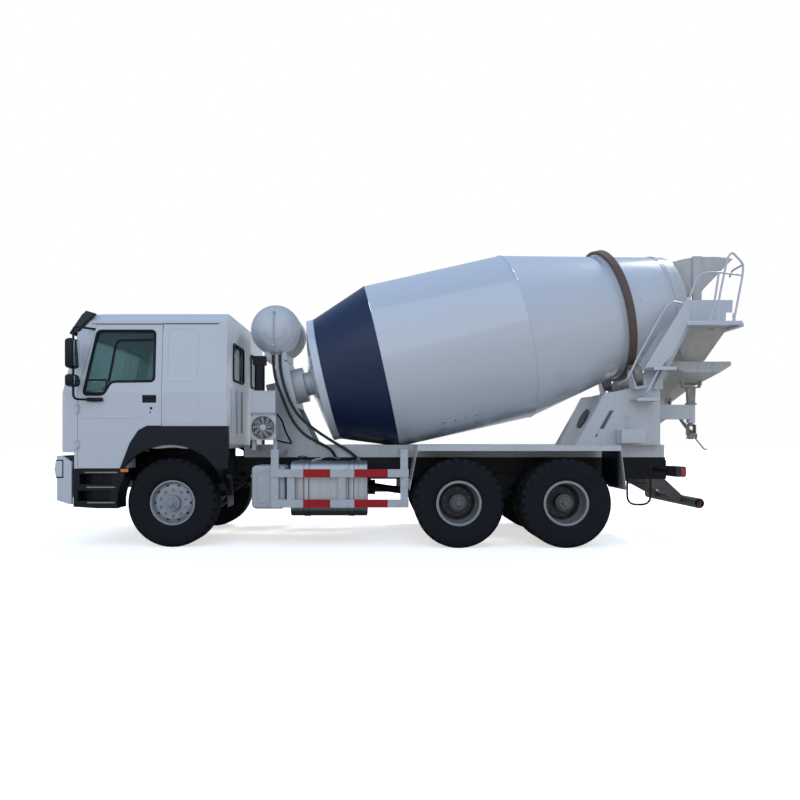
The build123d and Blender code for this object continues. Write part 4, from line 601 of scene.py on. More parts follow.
def disc(start, end, radius, edge=0.003, sides=32, hollow=0.0):
    """Round bar between two points, its ends chamfered; hollow is the depth of a recess in its far end."""
    start, end = Vector(start), Vector(end)
    bpy.ops.mesh.primitive_cylinder_add(vertices=sides, radius=radius, depth=(end - start).length)
    piece = bpy.context.object
    piece.location = (start + end) / 2
    piece.rotation_euler = (end - start).to_track_quat("Z", "Y").to_euler()
    bpy.context.view_layer.update()
    select_faces(piece, lambda face: len(face.vertices) == sides)
    bpy.ops.mesh.inset(thickness=edge, depth=0)
    bpy.ops.object.mode_set(mode="OBJECT")
    for vertex in piece.data.vertices:
        if math.hypot(vertex.co.x, vertex.co.y) > radius - edge / 2:
            vertex.co.z -= math.copysign(edge, vertex.co.z)
    if hollow:
        select_faces(piece, lambda face: len(face.vertices) == sides and face.normal.z > 0.5)
        bpy.ops.mesh.inset(thickness=(radius - edge) * 0.2, depth=0)
        bpy.ops.mesh.inset(thickness=edge, depth=-hollow)
        bpy.ops.object.mode_set(mode="OBJECT")
    return piece


def rounded(points, bend, steps=6, closed=False):
    """Points of a line whose corners are arcs of about the given radius."""
    points = [Vector(p) for p in points]
    count = len(points)
    line = [] if closed else [points[0]]
    for i in range(0 if closed else 1, count if closed else count - 1):
        before, corner, after = points[i - 1], points[i], points[(i + 1) % count]
        into, out = (before - corner), (after - corner)
        cut = min(bend, into.length * 0.45, out.length * 0.45)
        first, last = corner + into.normalized() * cut, corner + out.normalized() * cut
        for k in range(steps + 1):
            t = k / steps
            line.append(first.lerp(corner, t).lerp(corner.lerp(last, t), t))
    return line if closed else line + [points[-1]]


def curve_object(lines, closed, **settings):
    curve = bpy.data.curves.new("curve", "CURVE")
    for name, value in settings.items():
        setattr(curve, name, value)
    for line in lines:
        spline = curve.splines.new("POLY")
        spline.points.add(len(line) - 1)
        for point, place in zip(spline.points, line):
            point.co = (*place, 1)
        spline.use_cyclic_u = closed
    piece = bpy.data.objects.new("curve", curve)
    bpy.context.scene.collection.objects.link(piece)
    return piece


def pipe(points, radius, bend=0.05, closed=False):
    """Bent tube or rubber cord along a line."""
    return curve_object([rounded(points, bend, closed=closed)], closed, dimensions="3D",
                        bevel_depth=radius, bevel_resolution=3, use_fill_caps=not closed)


def plate(corners, y, thickness, bend=0.0, edge=0.0015, holes=()):
    """Sheet cut to an outline seen from the side: corners are (distance behind the front axle, height)."""
    def outline(shape, radius):
        flat = [(axle_x + a, b, 0) for a, b in shape]
        return rounded(flat, radius, 5, closed=True) if radius else [Vector(p) for p in flat]
    lines = [outline(corners, bend)] + [outline(hole, radius) for hole, radius in holes]
    piece = curve_object(lines, True, dimensions="2D", fill_mode="BOTH", extrude=thickness / 2 - edge,
                         bevel_depth=edge, bevel_resolution=1, offset=-edge)
    piece.location.y = y
    piece.rotation_euler.x = math.radians(90)
    return piece


print("ways of making: block, disc, pipe and plate")

# %% [markdown]
# At the rear a platform stands over the chute, reached by two steps and hand rails. On the real
# truck it is one welding of folded sheet and thin tube. The rails lean with the hopper, so their
# corners were placed one by one along the left edge, and the sheet parts are plates of the same
# folded white steel.

# %% Platform and rails
rail_y = -0.85
rail_r = 0.0135
deck_height = 2.905
bars = [
    pipe([at(5.885, rail_y + 0.33, 2.12), at(5.885, rail_y, 2.165), at(6.02, rail_y, 2.45),
          at(6.307, rail_y, 2.972),
          at(6.45, rail_y, 3.185), at(6.60, rail_y, 3.150)], rail_r, 0.07),
    pipe([at(6.11, rail_y + 0.28, 1.92), at(6.13, rail_y, 1.97), at(6.63, rail_y, 2.929),
          at(6.69, rail_y, 3.20),
          at(6.80, rail_y, 3.52), at(6.93, rail_y, 3.562), at(7.086, rail_y, 3.558), at(7.39, rail_y, 3.520)],
          rail_r, 0.07),
    pipe([at(7.061, rail_y, deck_height), at(7.09, rail_y, 3.25), at(7.195, rail_y, 3.75),
          at(7.254, rail_y, 3.828),
          at(7.402, rail_y, 3.668), at(7.392, rail_y, 3.516), at(7.275, rail_y, deck_height)], rail_r, 0.05),
    pipe([at(6.952, rail_y, deck_height), at(7.027, rail_y, 3.189), at(7.082, rail_y, 3.555)], rail_r, 0.05),
    pipe([at(7.40, rail_y, 3.66), at(7.42, -0.55, 3.66), at(7.44, -0.45, 3.60)], rail_r, 0.05),
    pipe([at(7.28, rail_y, 2.92), at(7.28, rail_y, 3.02)], rail_r * 1.4),
]
rails = settle(joined(bars), "platform_rails", mixer_white, "chassis")
sheets = [
    block(at(6.99, -0.715, deck_height - 0.012), (0.72, 0.40, 0.024), 0.004),
    block(at(6.99, -0.908, deck_height - 0.020), (0.73, 0.012, 0.055), 0.003),
    block(at(7.352, -0.715, deck_height - 0.020), (0.012, 0.40, 0.055), 0.003),
    block(at(7.00, 0.715, deck_height - 0.012), (0.74, 0.26, 0.024), 0.004),
    block(at(7.385, 0, deck_height - 0.030), (0.08, 1.65, 0.05), 0.004),
    plate([(6.66, 2.90), (6.66, 3.16), (7.085, 3.19), (7.085, 3.175), (7.24, 3.175), (7.24, 3.03),
           (7.17, 3.03), (7.17, 2.90)],
          -0.60, 0.010),
    plate([(6.43, 2.86), (6.64, 3.185), (6.69, 3.185), (6.69, 2.90), (6.60, 2.84)], -0.86, 0.010),
]
for x, z, inner, outer in ((6.18, 1.905, 0.365, 0.80), (6.355, 2.305, 0.50, 0.90)):
    middle = -(inner + outer) / 2
    sheets.append(block(at(x, middle, z), (0.30, outer - inner, 0.018), 0.003))
    sheets.append(block(at(x, -outer, z - 0.012), (0.30, 0.010, 0.045), 0.003))
    sheets.append(block(at(x + 0.145, middle, z - 0.014), (0.010, outer - inner, 0.042), 0.003))
stringer = plate([(6.07, 2.27), (6.60, 3.16), (6.69, 3.12), (6.42, 2.50), (6.31, 2.305)], -0.62, 0.012)
sheets.append(stringer)
platform = settle(joined(sheets), "platform_sheets", mixer_white, "chassis")
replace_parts(platform, "platform")
print("platform rails", len(rails.data.vertices), "points; sheets", len(platform.data.vertices))

# %% [markdown]
# The charging hopper is welded from four sheets. Its two cheeks end in a shallow arch at the top
# and follow the drum's mouth in front, the back sheet slopes down into the drum, and a post on
# each side carries it from the platform.

# %% Charging hopper
cheek = [(6.665, 3.805), (6.83, 3.850), (7.01, 3.872), (7.27, 3.880), (7.49, 3.850), (7.09, 3.44),
         (7.02, 3.33),
         (6.83, 3.36), (6.79, 3.53), (6.72, 3.69)]
hopper_parts = [plate(cheek, s * 0.43, 0.008, edge=0.0015) for s in (LEFT, RIGHT)]
for (x1, z1), (x2, z2), half in (((7.475, 3.845), (7.045, 3.395), 0.43),
                                 ((7.045, 3.395), (6.56, 3.26), 0.40)):
    lean = math.atan2(z2 - z1, x2 - x1)
    hopper_parts.append(block(at((x1 + x2) / 2, 0, (z1 + z2) / 2),
                              (math.hypot(x2 - x1, z2 - z1), 2 * half, 0.008), 0.002, (0, -lean, 0)))
for s in (LEFT, RIGHT):
    hopper_parts.append(block(at(6.99, s * 0.445, 3.555), (0.125, 0.03, 0.66), 0.004))
    hopper_parts.append(block(at(6.99, s * 0.50, 3.235), (0.16, 0.20, 0.014), 0.003))
    hopper_parts.append(block(at(6.99, s * 0.585, 3.07), (0.10, 0.012, 0.34), 0.003))
    for dx in (-0.05, 0.05):
        hopper_parts.append(disc(at(6.99 + dx, s * 0.49, 3.242), at(6.99 + dx, s * 0.49, 3.262), 0.014, 0.002,
                                 6))
    hopper_parts.append(pipe([at(6.665, s * 0.43, 3.805), at(6.83, s * 0.43, 3.850),
                              at(7.01, s * 0.43, 3.872),
                              at(7.27, s * 0.43, 3.880), at(7.49, s * 0.43, 3.850)], 0.007, 0.1))
hopper = settle(joined(hopper_parts), "hopper_sheets", hopper_white, "chassis")
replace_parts(hopper, "charging_hopper")
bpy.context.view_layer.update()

# %% [markdown]
# A pressed cab gets its look from lines: rubber round the glass, the gutter over the door, the
# embossed panel and the locker door behind it, a crease at the belt. The skin leans in above
# the belt line, so each line is laid on a small function that gives the skin's place.

# %% Lines on the cab
belt_z, roof_seam_z, top_half_width = 1.95, 2.86, 1.175


def skin_y(z, side, proud=0.0):
    lean = max(0.0, z - belt_z) * (side_y - top_half_width) / (roof_seam_z - belt_z)
    return side * (side_y - lean + proud)


def on_skin(corners, side, proud=0.0):
    return [at(x, skin_y(z, side, proud), z) for x, z in corners]


door_window = [(-1.085, 1.925), (-0.830, 1.925), (-0.740, 2.088), (-0.200, 2.095), (-0.200, 2.735),
               (-0.925, 2.735)]
sliding_frame = [(-0.775, 2.09), (-0.70, 2.56), (-0.66, 2.615), (-0.22, 2.625)]
panel = [(-0.03, 2.095), (0.345, 2.095), (0.345, 2.757), (-0.03, 2.757)]
locker = [(-0.06, 1.58), (0.36, 1.58), (0.36, 1.95), (-0.06, 1.95)]
for side_name, s in SIDES:
    rubber = [pipe(on_skin(door_window, s, -0.004), 0.017, 0.055, closed=True),
              pipe(on_skin(sliding_frame, s, -0.014), 0.012, 0.05),
              pipe(on_skin([(-0.775, 2.10), (-0.70, 2.56)], s, -0.02), 0.014)]
    settle(joined(rubber), f"window_rubber_{side_name}", rubber_black, f"door_{side_name}")
    lines = [pipe(on_skin(panel, s, -0.001), 0.005, 0.06, closed=True),
             pipe(on_skin(locker, s, -0.001), 0.004, 0.04, closed=True),
             pipe(on_skin([(-0.10, 2.835), (0.60, 2.835)], s, 0.001), 0.008),
             pipe(on_skin([(0.62, 1.60), (0.62, 2.80)], s, -0.002), 0.006)]
    settle(joined(lines), f"cab_side_lines_{side_name}", cab_white, "cab")
    dark = [pipe(on_skin([(-1.0, 2.822), (0.60, 2.822)], s, 0.0), 0.0045),
            pipe(on_skin([(-0.098, 1.54), (-0.098, 2.80)], s, -0.003), 0.0045)]
    settle(joined(dark), f"cab_side_seams_{side_name}", rubber_black, "cab")
    crease = [pipe(on_skin([(-1.13, 1.635), (-0.50, 1.630), (-0.33, 1.655)], s, -0.004), 0.009, 0.05),
              pipe(on_skin([(-1.13, 1.10), (-0.68, 1.10)], s, -0.005), 0.007)]
    settle(joined(crease), f"door_crease_{side_name}", cab_white, f"door_{side_name}")
    cup = block(at(-0.257, s * (side_y - 0.006), 1.872), (0.178, 0.016, 0.100), 0.006)
    select_faces(cup, lambda face: face.normal.y * s > 0.9 and face.area > 0.005)
    bpy.ops.mesh.inset(thickness=0.012, depth=-0.010)
    bpy.ops.object.mode_set(mode="OBJECT")
    handle = [cup, block(at(-0.257, s * (side_y + 0.001), 1.892), (0.140, 0.014, 0.030), 0.006),
              disc(at(-0.232, s * (side_y - 0.004), 1.755), at(-0.232, s * (side_y + 0.006), 1.755), 0.016,
                   0.002, 24, 0.004),
              disc(at(-0.245, s * (side_y - 0.004), 1.705), at(-0.245, s * (side_y + 0.004), 1.705), 0.010,
                   0.002, 16)]
    settle(joined(handle), f"door_handle_{side_name}", plastic_black, f"door_{side_name}")
    foot = block(at(-0.93, s * (side_y + 0.022), 1.862), (0.20, 0.045, 0.05), 0.015)
    settle(foot, f"mirror_foot_{side_name}", plastic_black, f"door_{side_name}")
print("rubber, seams and handles on both sides")

# %% [markdown]
# The windscreen's rubber follows a bowed, leaning surface. A ray shot at the cab from the front
# finds that surface at each corner, which is easier and truer than working out the bow.

# %% Windscreen and wipers
def first_hit(names, start, way):
    """First point of the named nodes that a ray meets."""
    best = None
    for name in names:
        hit, place, _, _ = nodes[name].ray_cast(Vector(start), Vector(way))
        if hit and (best is None or (place - Vector(start)).length < (best - Vector(start)).length):
            best = place
    return best


def on_front(y, z, proud=0.0):
    place = first_hit(("cab_shell", "cab_glass", "front_lid"), (low.x - 1, y, z), (1, 0, 0))
    return Vector((place.x - proud, y, z))


screen = rounded([(0, -1.07, 2.01), (0, 1.07, 2.01), (0, 1.0, 2.74), (0, -1.0, 2.74)], 0.09, 5, closed=True)
long_screen = []
for start, end in zip(screen, screen[1:] + screen[:1]):
    count = max(1, round((end - start).length / 0.12))
    long_screen += [start.lerp(end, k / count) for k in range(count)]
screen_rubber = pipe([on_front(p.y, p.z, -0.004) for p in long_screen], 0.020, 0.001, closed=True)
settle(screen_rubber, "windscreen_rubber", rubber_black, "cab")
wipers = []
for y in (-0.62, 0.12):
    foot, tip = on_front(y, 2.045, 0.016), on_front(y + 0.52, 2.17, 0.022)
    wipers += [disc(foot + Vector((0.02, 0, 0)), foot - Vector((0.008, 0, 0)), 0.018, 0.003, 20),
               pipe([foot, tip], 0.007)]
    blade = [on_front(y + 0.52 + d, 2.17 + d * 0.50 - 0.02, 0.012) for d in (-0.30, -0.15, 0.0, 0.15, 0.30)]
    wipers.append(pipe(blade, 0.008, 0.02))
settle(joined(wipers), "wipers", plastic_black, "cab")
print("windscreen rubber of", len(long_screen), "points")

# %% [markdown]
# Head lamps sit in the bumper's corners: a clear fluted lens over a bright bowl, wrapping
# round to the side. Small amber markers sit on the flares, and red lamps and reflectors at
# the rear. Each lens is a rounded block whose face is inset so that it reads as a lens in a frame.


# %% Lamps
def lens(name, middle, size, finish, body, face_way, edge=0.012):
    piece = block(middle, size, edge)
    way = Vector(face_way)
    select_faces(piece, lambda face: face.normal.dot(way) > 0.95)
    bpy.ops.mesh.inset(thickness=0.008, depth=0.0)
    bpy.ops.mesh.inset(thickness=0.003, depth=-0.003)
    bpy.ops.object.mode_set(mode="OBJECT")
    return settle(piece, name, finish, body)


lamp_z = 0.995
for side_name, s in SIDES:
    lens(f"head_lamp_{side_name}", at(-1.432, s * 1.085, lamp_z), (0.05, 0.255, 0.185), lens_clear, "chassis",
         (-1, 0, 0), 0.02)
    lens(f"head_lamp_corner_{side_name}", at(-1.385, s * 1.232, lamp_z), (0.085, 0.03, 0.20), lens_clear,
         "chassis", (0, s, 0), 0.012)
    bowl = [disc(at(-1.450, s * y, lamp_z), at(-1.462, s * y, lamp_z), 0.058, 0.004, 32,
                 0.006) for y in (1.03, 1.15)]
    settle(joined(bowl), f"lamp_bowls_{side_name}", mirror_silver, "chassis")
    lens(f"flare_marker_{side_name}", at(-0.560, s * 1.251, 0.975), (0.095, 0.022, 0.04), lens_amber, "cab",
         (0, s, 0), 0.006)
    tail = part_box("lamps")[1].x
    lens(f"tail_lamp_{side_name}", Vector((tail + 0.006, s * 1.0, 0.955)), (0.03, 0.30, 0.105), lens_red,
         "chassis", (1, 0, 0))
    lens(f"tail_side_{side_name}", Vector((tail - 0.03, s * 1.166, 0.955)), (0.055, 0.012, 0.10), lens_red,
         "chassis", (0, s, 0), 0.004)
print("lamps placed")

# %% [markdown]
# A truck wheel is read by its nuts. Each one is a hexagon on a washer with the stud's end
# standing out of it, ten on a circle of 335 mm, seated on the disc where a ray from outside meets
# it. The pieces ride on the wheel's own body, so they turn with it.

# %% Wheel nuts and hubs
nut_circle, nut_count = 0.1675, 10


def wheel_parts(centre, side, names, holes, hub):
    """Nuts, hand holes and hub of one wheel; centre is on the axle, side is the way out. The hand holes are
    near-black discs: painted shade.
    """

    def face(radius, angle):
        spot = centre + Vector((radius * math.cos(angle), 0, radius * math.sin(angle)))
        return first_hit(names, (spot.x, side * 2.0, spot.z), (0, -side, 0)) or spot

    out = Vector((0, side, 0))
    bright, dark = [], []
    for k in range(nut_count):
        angle = math.tau * (k + 0.5) / nut_count
        seat = face(nut_circle, angle)
        bright += [disc(seat - out * 0.003, seat + out * 0.004, 0.021, 0.001, 20),
                   disc(seat, seat + out * 0.026, 0.0165, 0.002, 6),
                   disc(seat, seat + out * 0.040, 0.0095, 0.002, 12)]
    # Each hand hole is a near-black disc on the rim's face: painted shade of the hole.
    for k in range(holes):
        angle = math.tau * k / holes
        seat = face(0.218, angle)
        dark.append(disc(seat - out * 0.004, seat + out * 0.0015, 0.019, 0.001, 24))
    middle = face(0.0, 0.0)
    for inner, outer, radius, edge in hub:
        bright.append(disc(middle + out * inner, middle + out * outer, radius, edge, 40))
    return bright, dark


front_y, lip = 1.011, 0.012
for side_name, s in SIDES:
    centre = Vector((axle_x, s * front_y, wheel_z))
    bright, dark = wheel_parts(centre, s, (f"front_rim_{side_name}",), 10,
                               ((-0.05, 0.004, 0.100, 0.006), (0.0, 0.022, 0.074, 0.010),
                                (0.0, 0.052, 0.050, 0.018),
                                (0.04, 0.062, 0.020, 0.006)))
    settle(joined(bright), f"front_nuts_{side_name}", rim_silver, f"front_wheel_{side_name}", 35)
    settle(joined(dark), f"front_hand_holes_{side_name}", chassis_black, f"front_wheel_{side_name}")
    for axle, axle_name in ((MID_AXLE, "mid"), (REAR_AXLE, "rear")):
        centre = Vector((axle_x + axle, s * twin_middle, wheel_z))
        bright, dark = wheel_parts(centre, s, (f"{axle_name}_rims_{side_name}",), 8,
                                   ((-0.02, 0.010, 0.112, 0.010), (0.0, 0.045, 0.090, 0.014),
                                    (0.0, 0.075, 0.046, 0.010)))
        for k in range(6):
            turn = math.tau * k / 6
            spot = centre + Vector((0.072 * math.cos(turn), 0, 0.072 * math.sin(turn)))
            seat = first_hit((f"{axle_name}_rims_{side_name}",), (spot.x, s * 2.0, spot.z),
                             (0, -s, 0)) or spot
            bright.append(disc(seat, seat + Vector((0, s * 0.054, 0)), 0.009, 0.002, 6))
        body = f"{axle_name}_wheels_{side_name}"
        settle(joined(bright), f"{axle_name}_nuts_{side_name}", hub_steel, body, 35)
        settle(joined(dark), f"{axle_name}_hand_holes_{side_name}", chassis_black, body)
print("nuts on six wheel sets")

# %% [markdown]
# Two hoses come down from the water tank. A hose's line is a smooth spline with the route's
# points as its control points, and its thickness is the curve's own bevel. Its length is stated
# too, so that the hose can be hung or simulated later.

# %% Hoses
hose_rubber_finish = dusty("hose_rubber", (0.009, 0.009, 0.010), (0.06, 0.056, 0.05), 0.5, scale=14,
                           amount=0.45)
water_route = [(1.240, -0.3883, 2.580), (1.238, -0.3883, 2.330), (1.340, -0.430, 1.990),
               (1.480, -0.490, 1.720),
               (1.690, -0.520, 1.530), (1.990, -0.500, 1.330), (2.220, -0.460, 1.200),
               (2.350, -0.4453, 1.075)]
drain_route = [(1.150, -0.3883, 2.580), (1.148, -0.3883, 2.280), (1.290, -0.450, 1.930),
               (1.420, -0.530, 1.640),
               (1.600, -0.580, 1.420), (1.850, -0.560, 1.300), (2.010, -0.480, 1.190),
               (2.060, -0.4453, 1.010)]
for node_name, route, length in (("water_hose", water_route, 2.004), ("drain_hose", drain_route, 1.957)):
    line = bpy.data.curves.new(node_name + "_line", "CURVE")
    line.dimensions, line.bevel_depth, line.bevel_resolution, line.resolution_u = "3D", 0.02, 5, 24
    line.use_fill_caps = True
    spline = line.splines.new("NURBS")
    spline.points.add(len(route) - 1)
    for point, place in zip(spline.points, route):
        point.co = (*at(*place), 1)
    spline.order_u, spline.use_endpoint_u = 3, True
    hose = bpy.data.objects.new(node_name + "_line", line)
    bpy.context.scene.collection.objects.link(hose)
    line.materials.append(hose_rubber_finish.material)
    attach(hose, "chassis")
    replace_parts(hose, node_name)
    at(*route[0])
    clips = []
    for end, beside in ((route[0], route[1]), (route[-1], route[-2])):
        end, way = at(*end), (at(*beside) - at(*end)).normalized()
        clips.append(disc(end - way * 0.004, end + way * 0.05, 0.0255, 0.003, 32))
        clips.append(disc(end + way * 0.022, end + way * 0.036, 0.0285, 0.002, 32))
    settle(joined(clips), node_name + "_clips", steel_worn, "chassis")
    print(node_name, "laid,", length, "m long")

# %% [markdown]
# Two seats and a bunk can be seen through the windows. Each cushion starts as a plain block that
# is a little too small. It is remeshed finely, blown up by a short cloth simulation until it is
# crowned, and then held to a small swelling. Cord piping round the edge and sewn channels in
# the finish are what make it read as a truck seat.

# %% Seats and bunk
fabric = Finish("seat_fabric", (0.055, 0.06, 0.07), 0.85, Sheen_Weight=0.3)
x, y, z = fabric.place()
weave = (x * 900).math("SINE") * (y * 900).math("SINE") + (z * 900).math("SINE") * 0.5
channels = 1 - ((y / 0.085).math("FRACT") - 0.5).math("ABSOLUTE").above(0.06, 0.08)
wear = fabric.noise(8, 4)
fabric.sockets(**{"Base Color": fabric.mix(wear * 0.5 + weave * 0.1, (0.045, 0.05, 0.06),
                                           (0.10, 0.105, 0.115))})
fabric.bump(weave * 0.25 - channels * 1.2, 0.8, 0.003)


def cushion(name, middle, size, lean=0.0, voxel=0.014, swell=0.016):
    """Padded block, crowned by a short cloth simulation."""
    small = [s - 2 * swell * 0.7 for s in size]
    piece = block(middle, small, 0.03, (0, lean, 0))
    remesh = piece.modifiers.new("remesh", "REMESH")
    remesh.mode, remesh.voxel_size = "VOXEL", voxel
    bpy.ops.object.modifier_apply(modifier="remesh")
    start = [vertex.co.copy() for vertex in piece.data.vertices]
    cloth = piece.modifiers.new("cloth", "CLOTH")
    cloth.settings.use_pressure, cloth.settings.uniform_pressure_force = True, 4
    cloth.settings.effector_weights.gravity = 0
    for frame in range(1, 16):
        bpy.context.scene.frame_set(frame)
    bpy.ops.object.modifier_apply(modifier="cloth")
    bpy.context.scene.frame_set(1)
    for vertex, before in zip(piece.data.vertices, start):
        move = vertex.co - before
        if move.length > swell:
            vertex.co = before + move.normalized() * swell
    smooth = piece.modifiers.new("smooth", "SMOOTH")
    smooth.iterations = 3
    bpy.ops.object.modifier_apply(modifier="smooth")
    piece = settle(piece, name, fabric, "cab", 60)
    return piece


inside_z = 1.305
seat_pieces = []
for side_name, s in SIDES:
    y = s * 0.70
    seat_pieces += [cushion(f"seat_cushion_{side_name}", at(-0.33, y, inside_z + 0.30), (0.52, 0.52, 0.13)),
                    cushion(f"seat_back_{side_name}", at(0.003, y, inside_z + 0.70), (0.115, 0.48, 0.74),
                            math.radians(8))]
    base = joined([block(at(-0.33, y, inside_z + 0.115), (0.40, 0.38, 0.23), 0.02),
                   block(at(-0.33, y, inside_z + 0.232), (0.46, 0.46, 0.02), 0.006),
                   pipe([at(-0.56, y - 0.22, inside_z + 0.365), at(-0.56, y + 0.22, inside_z + 0.365),
                         at(-0.10, y + 0.22, inside_z + 0.365), at(-0.10, y - 0.22, inside_z + 0.365)], 0.006,
                         0.05, closed=True)])
    seat_pieces.append(settle(base, f"seat_base_{side_name}", plastic_black, "cab"))
seat_pieces.append(cushion("bunk_mattress", at(0.42, 0, 1.815), (0.41, 2.17, 0.12), 0.0, 0.022))
locker_box = block(at(0.42, 0, 1.60), (0.40, 2.18, 0.29), 0.012)
seat_pieces.append(settle(locker_box, "bunk_locker", dash_grey, "cab"))
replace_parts(seat_pieces[0], "seats")
print(len(seat_pieces), "seat and bunk pieces")

# %% [markdown]
# Behind the cab stands the oil cooler. Its fan shows plainly: swept blades in front of a dark
# core, a round hub, and a wire guard of rings and spokes.

# %% Oil cooler fan
fan_x, fan_z, fan_y, fan_r = 1.102, 1.520, -0.880, 0.149


def around(radius, angle, y):
    return at(fan_x + radius * math.cos(angle), y, fan_z + radius * math.sin(angle))


core = disc(at(fan_x, fan_y + 0.002, fan_z), at(fan_x, fan_y - 0.004, fan_z), fan_r, 0.001, 48)
settle(core, "fan_core", chassis_black, "chassis")
blades = []
for k in range(9):
    turn = math.tau * k / 9
    blade = [(0.035, -0.25), (0.09, -0.02), (0.138, 0.22), (0.134, 0.50), (0.09, 0.34), (0.035, 0.32)]
    corners = [(fan_x + r * math.cos(turn + a), fan_z + r * math.sin(turn + a)) for r, a in blade]
    blades.append(plate(corners, fan_y - 0.010, 0.004))
settle(joined(blades), "fan_blades", steel_worn, "chassis")
guard = [pipe([around(radius, math.tau * k / 32, fan_y - 0.022) for k in range(32)], 0.0022, 0.001,
              closed=True)
         for radius in (0.048, 0.074, 0.100, 0.126, 0.150)]
guard += [pipe([around(0.03, math.tau * k / 12, fan_y - 0.024),
                around(0.152, math.tau * k / 12, fan_y - 0.022),
                around(0.158, math.tau * k / 12, fan_y)], 0.0024, 0.004) for k in range(12)]
guard.append(disc(at(fan_x, fan_y - 0.004, fan_z), at(fan_x, fan_y - 0.030, fan_z), 0.040, 0.008, 32))
shroud = [around(0.157, math.tau * k / 48, fan_y - 0.003) for k in range(48)]
guard.append(pipe(shroud, 0.007, 0.001, closed=True))
settle(joined(guard), "fan_guard", mixer_white, "chassis")
trim = [block(at(1.102, -0.9165, z), (0.30, 0.006, 0.006), 0.002) for z in (1.722, 1.985)]
trim += [disc(at(x, -0.880, z), at(x, -0.892, z), 0.010, 0.002, 6)
         for x in (0.955, 1.249) for z in (1.375, 1.69)]
trim += [pipe([at(1.27, -0.80, 1.70), at(1.33, -0.78, 1.62), at(1.36, -0.60, 1.45), at(1.42, -0.50, 1.32)],
              0.012, 0.08),
         pipe([at(1.24, -0.76, 1.36), at(1.33, -0.74, 1.33), at(1.42, -0.55, 1.31)], 0.012, 0.06)]
settle(joined(trim[2:6]), "cooler_bolts", steel_worn, "chassis")
settle(joined(trim[:2]), "cooler_folds", mixer_white, "chassis")
settle(joined(trim[6:]), "cooler_lines", rubber_black, "chassis")
print("fan with", len(blades), "blades")

# %% [markdown]
# The tanks and the battery cover get their straps, seams and caps. The water tank has a sight
# tube down its end, the fuel tank a filler with a coil of thin hose on it.

# %% Tanks and battery cover
tank_low, tank_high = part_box("water_tank")
tank_mid = (tank_low + tank_high) / 2
tank_r = (tank_high.z - tank_low.z) / 2
tank_bits = []
for y in (tank_low.y + 0.075, tank_low.y + 0.30, tank_high.y - 0.30, tank_high.y - 0.075):
    ring = [Vector((tank_mid.x + (tank_r + 0.001) * math.cos(a), y,
                    tank_mid.z + (tank_r + 0.001) * math.sin(a)))
            for a in (math.tau * k / 64 for k in range(64))]
    tank_bits.append(pipe(ring, 0.005, 0.001, closed=True))
sight_x, sight_y = tank_mid.x - 0.02, tank_low.y - 0.012
tank_bits.append(pipe([Vector((sight_x, sight_y + 0.05, tank_mid.z + 0.25)),
                       Vector((sight_x, sight_y, tank_mid.z + 0.25)),
                       Vector((sight_x, sight_y, tank_mid.z - 0.22)),
                       Vector((sight_x, sight_y + 0.05, tank_mid.z - 0.22))],
                      0.008, 0.02))
for z in (0.25, -0.22):
    tank_bits.append(disc(Vector((sight_x, sight_y + 0.05, tank_mid.z + z)),
                          Vector((sight_x, sight_y - 0.012, tank_mid.z + z)),
                          0.016, 0.003, 6))
top = Vector((tank_mid.x, tank_mid.y + 0.1, tank_high.z))
tank_bits += [disc(top - Vector((0, 0, 0.03)), top + Vector((0, 0, 0.035)), 0.06, 0.004, 32),
              disc(top + Vector((0, 0, 0.03)), top + Vector((0, 0, 0.055)), 0.068, 0.006, 32)]
settle(joined(tank_bits), "water_tank_fittings", tank_silver, "chassis")

fuel_paint = Finish("fuel_paint", (0.42, 0.45, 0.47), 0.35, 0.35)
x, y, z = fuel_paint.place()
brushed = fuel_paint.noise(3, 4, stretch=(6, 1, 0.15)) * 0.7
brushed = brushed + fuel_paint.noise(30, 3, stretch=(1, 1, 0.05)) * 0.3
# The tank's underside and its top edge are painted near-black: painted shade.
tank_shade = (1 - z.above(0.50, 0.10)) + z.above(1.045, 0.03) * 0.75
fuel_colour = fuel_paint.mix(brushed.above(0.35, 0.35), (0.30, 0.33, 0.36), (0.58, 0.59, 0.59))
fuel_paint.sockets(**{"Base Color": fuel_paint.mix(tank_shade.math("MINIMUM", 1.0), fuel_colour,
                                                   (0.035, 0.042, 0.052)),
                      "Roughness": 0.3 + brushed * 0.25})
paint("fuel_tank", fuel_paint)
fuel_bits = []
for x_mid in (1.700, 2.270):
    for dx in (-0.031, 0.031):
        section = [at(x_mid + dx, y, z) for y, z in ((-0.553, 0.379), (-1.157, 0.379), (-1.157, 1.087),
                                                     (-0.553, 1.087))]
        fuel_bits.append(pipe(section, 0.004, 0.17, closed=True))
fuel_bits += [disc(at(1.62, -0.90, 1.10), at(1.62, -0.90, 1.135), 0.062, 0.006, 24),
              pipe([at(1.56, -0.90, 1.140), at(1.62, -0.90, 1.150), at(1.68, -0.90, 1.140)], 0.006, 0.03)]
coil = [at(1.82 + 0.062 * math.cos(a), -1.02 + 0.04 * math.sin(a),
           1.105 + 0.02 * math.cos(a) + 0.012 * math.sin(3 * a))
        for a in (math.tau * k / 24 for k in range(24))]
settle(joined(fuel_bits), "fuel_tank_straps", chassis_black, "chassis")
loop = [pipe(coil, 0.007, 0.001, closed=True),
        pipe([at(1.878, -1.02, 1.122), at(1.96, -0.95, 1.150), at(2.05, -0.80, 1.120), at(2.10, -0.66, 1.11)],
             0.006, 0.05)]
settle(joined(loop), "fuel_tank_line", grey_cover, "chassis")


def upright(x, y, z, half_x, half_z):
    """Corners of an upright rectangle that faces the side."""
    return [at(x + a * half_x, y, z + b * half_z) for a, b in ((-1, -1), (1, -1), (1, 1), (-1, 1))]


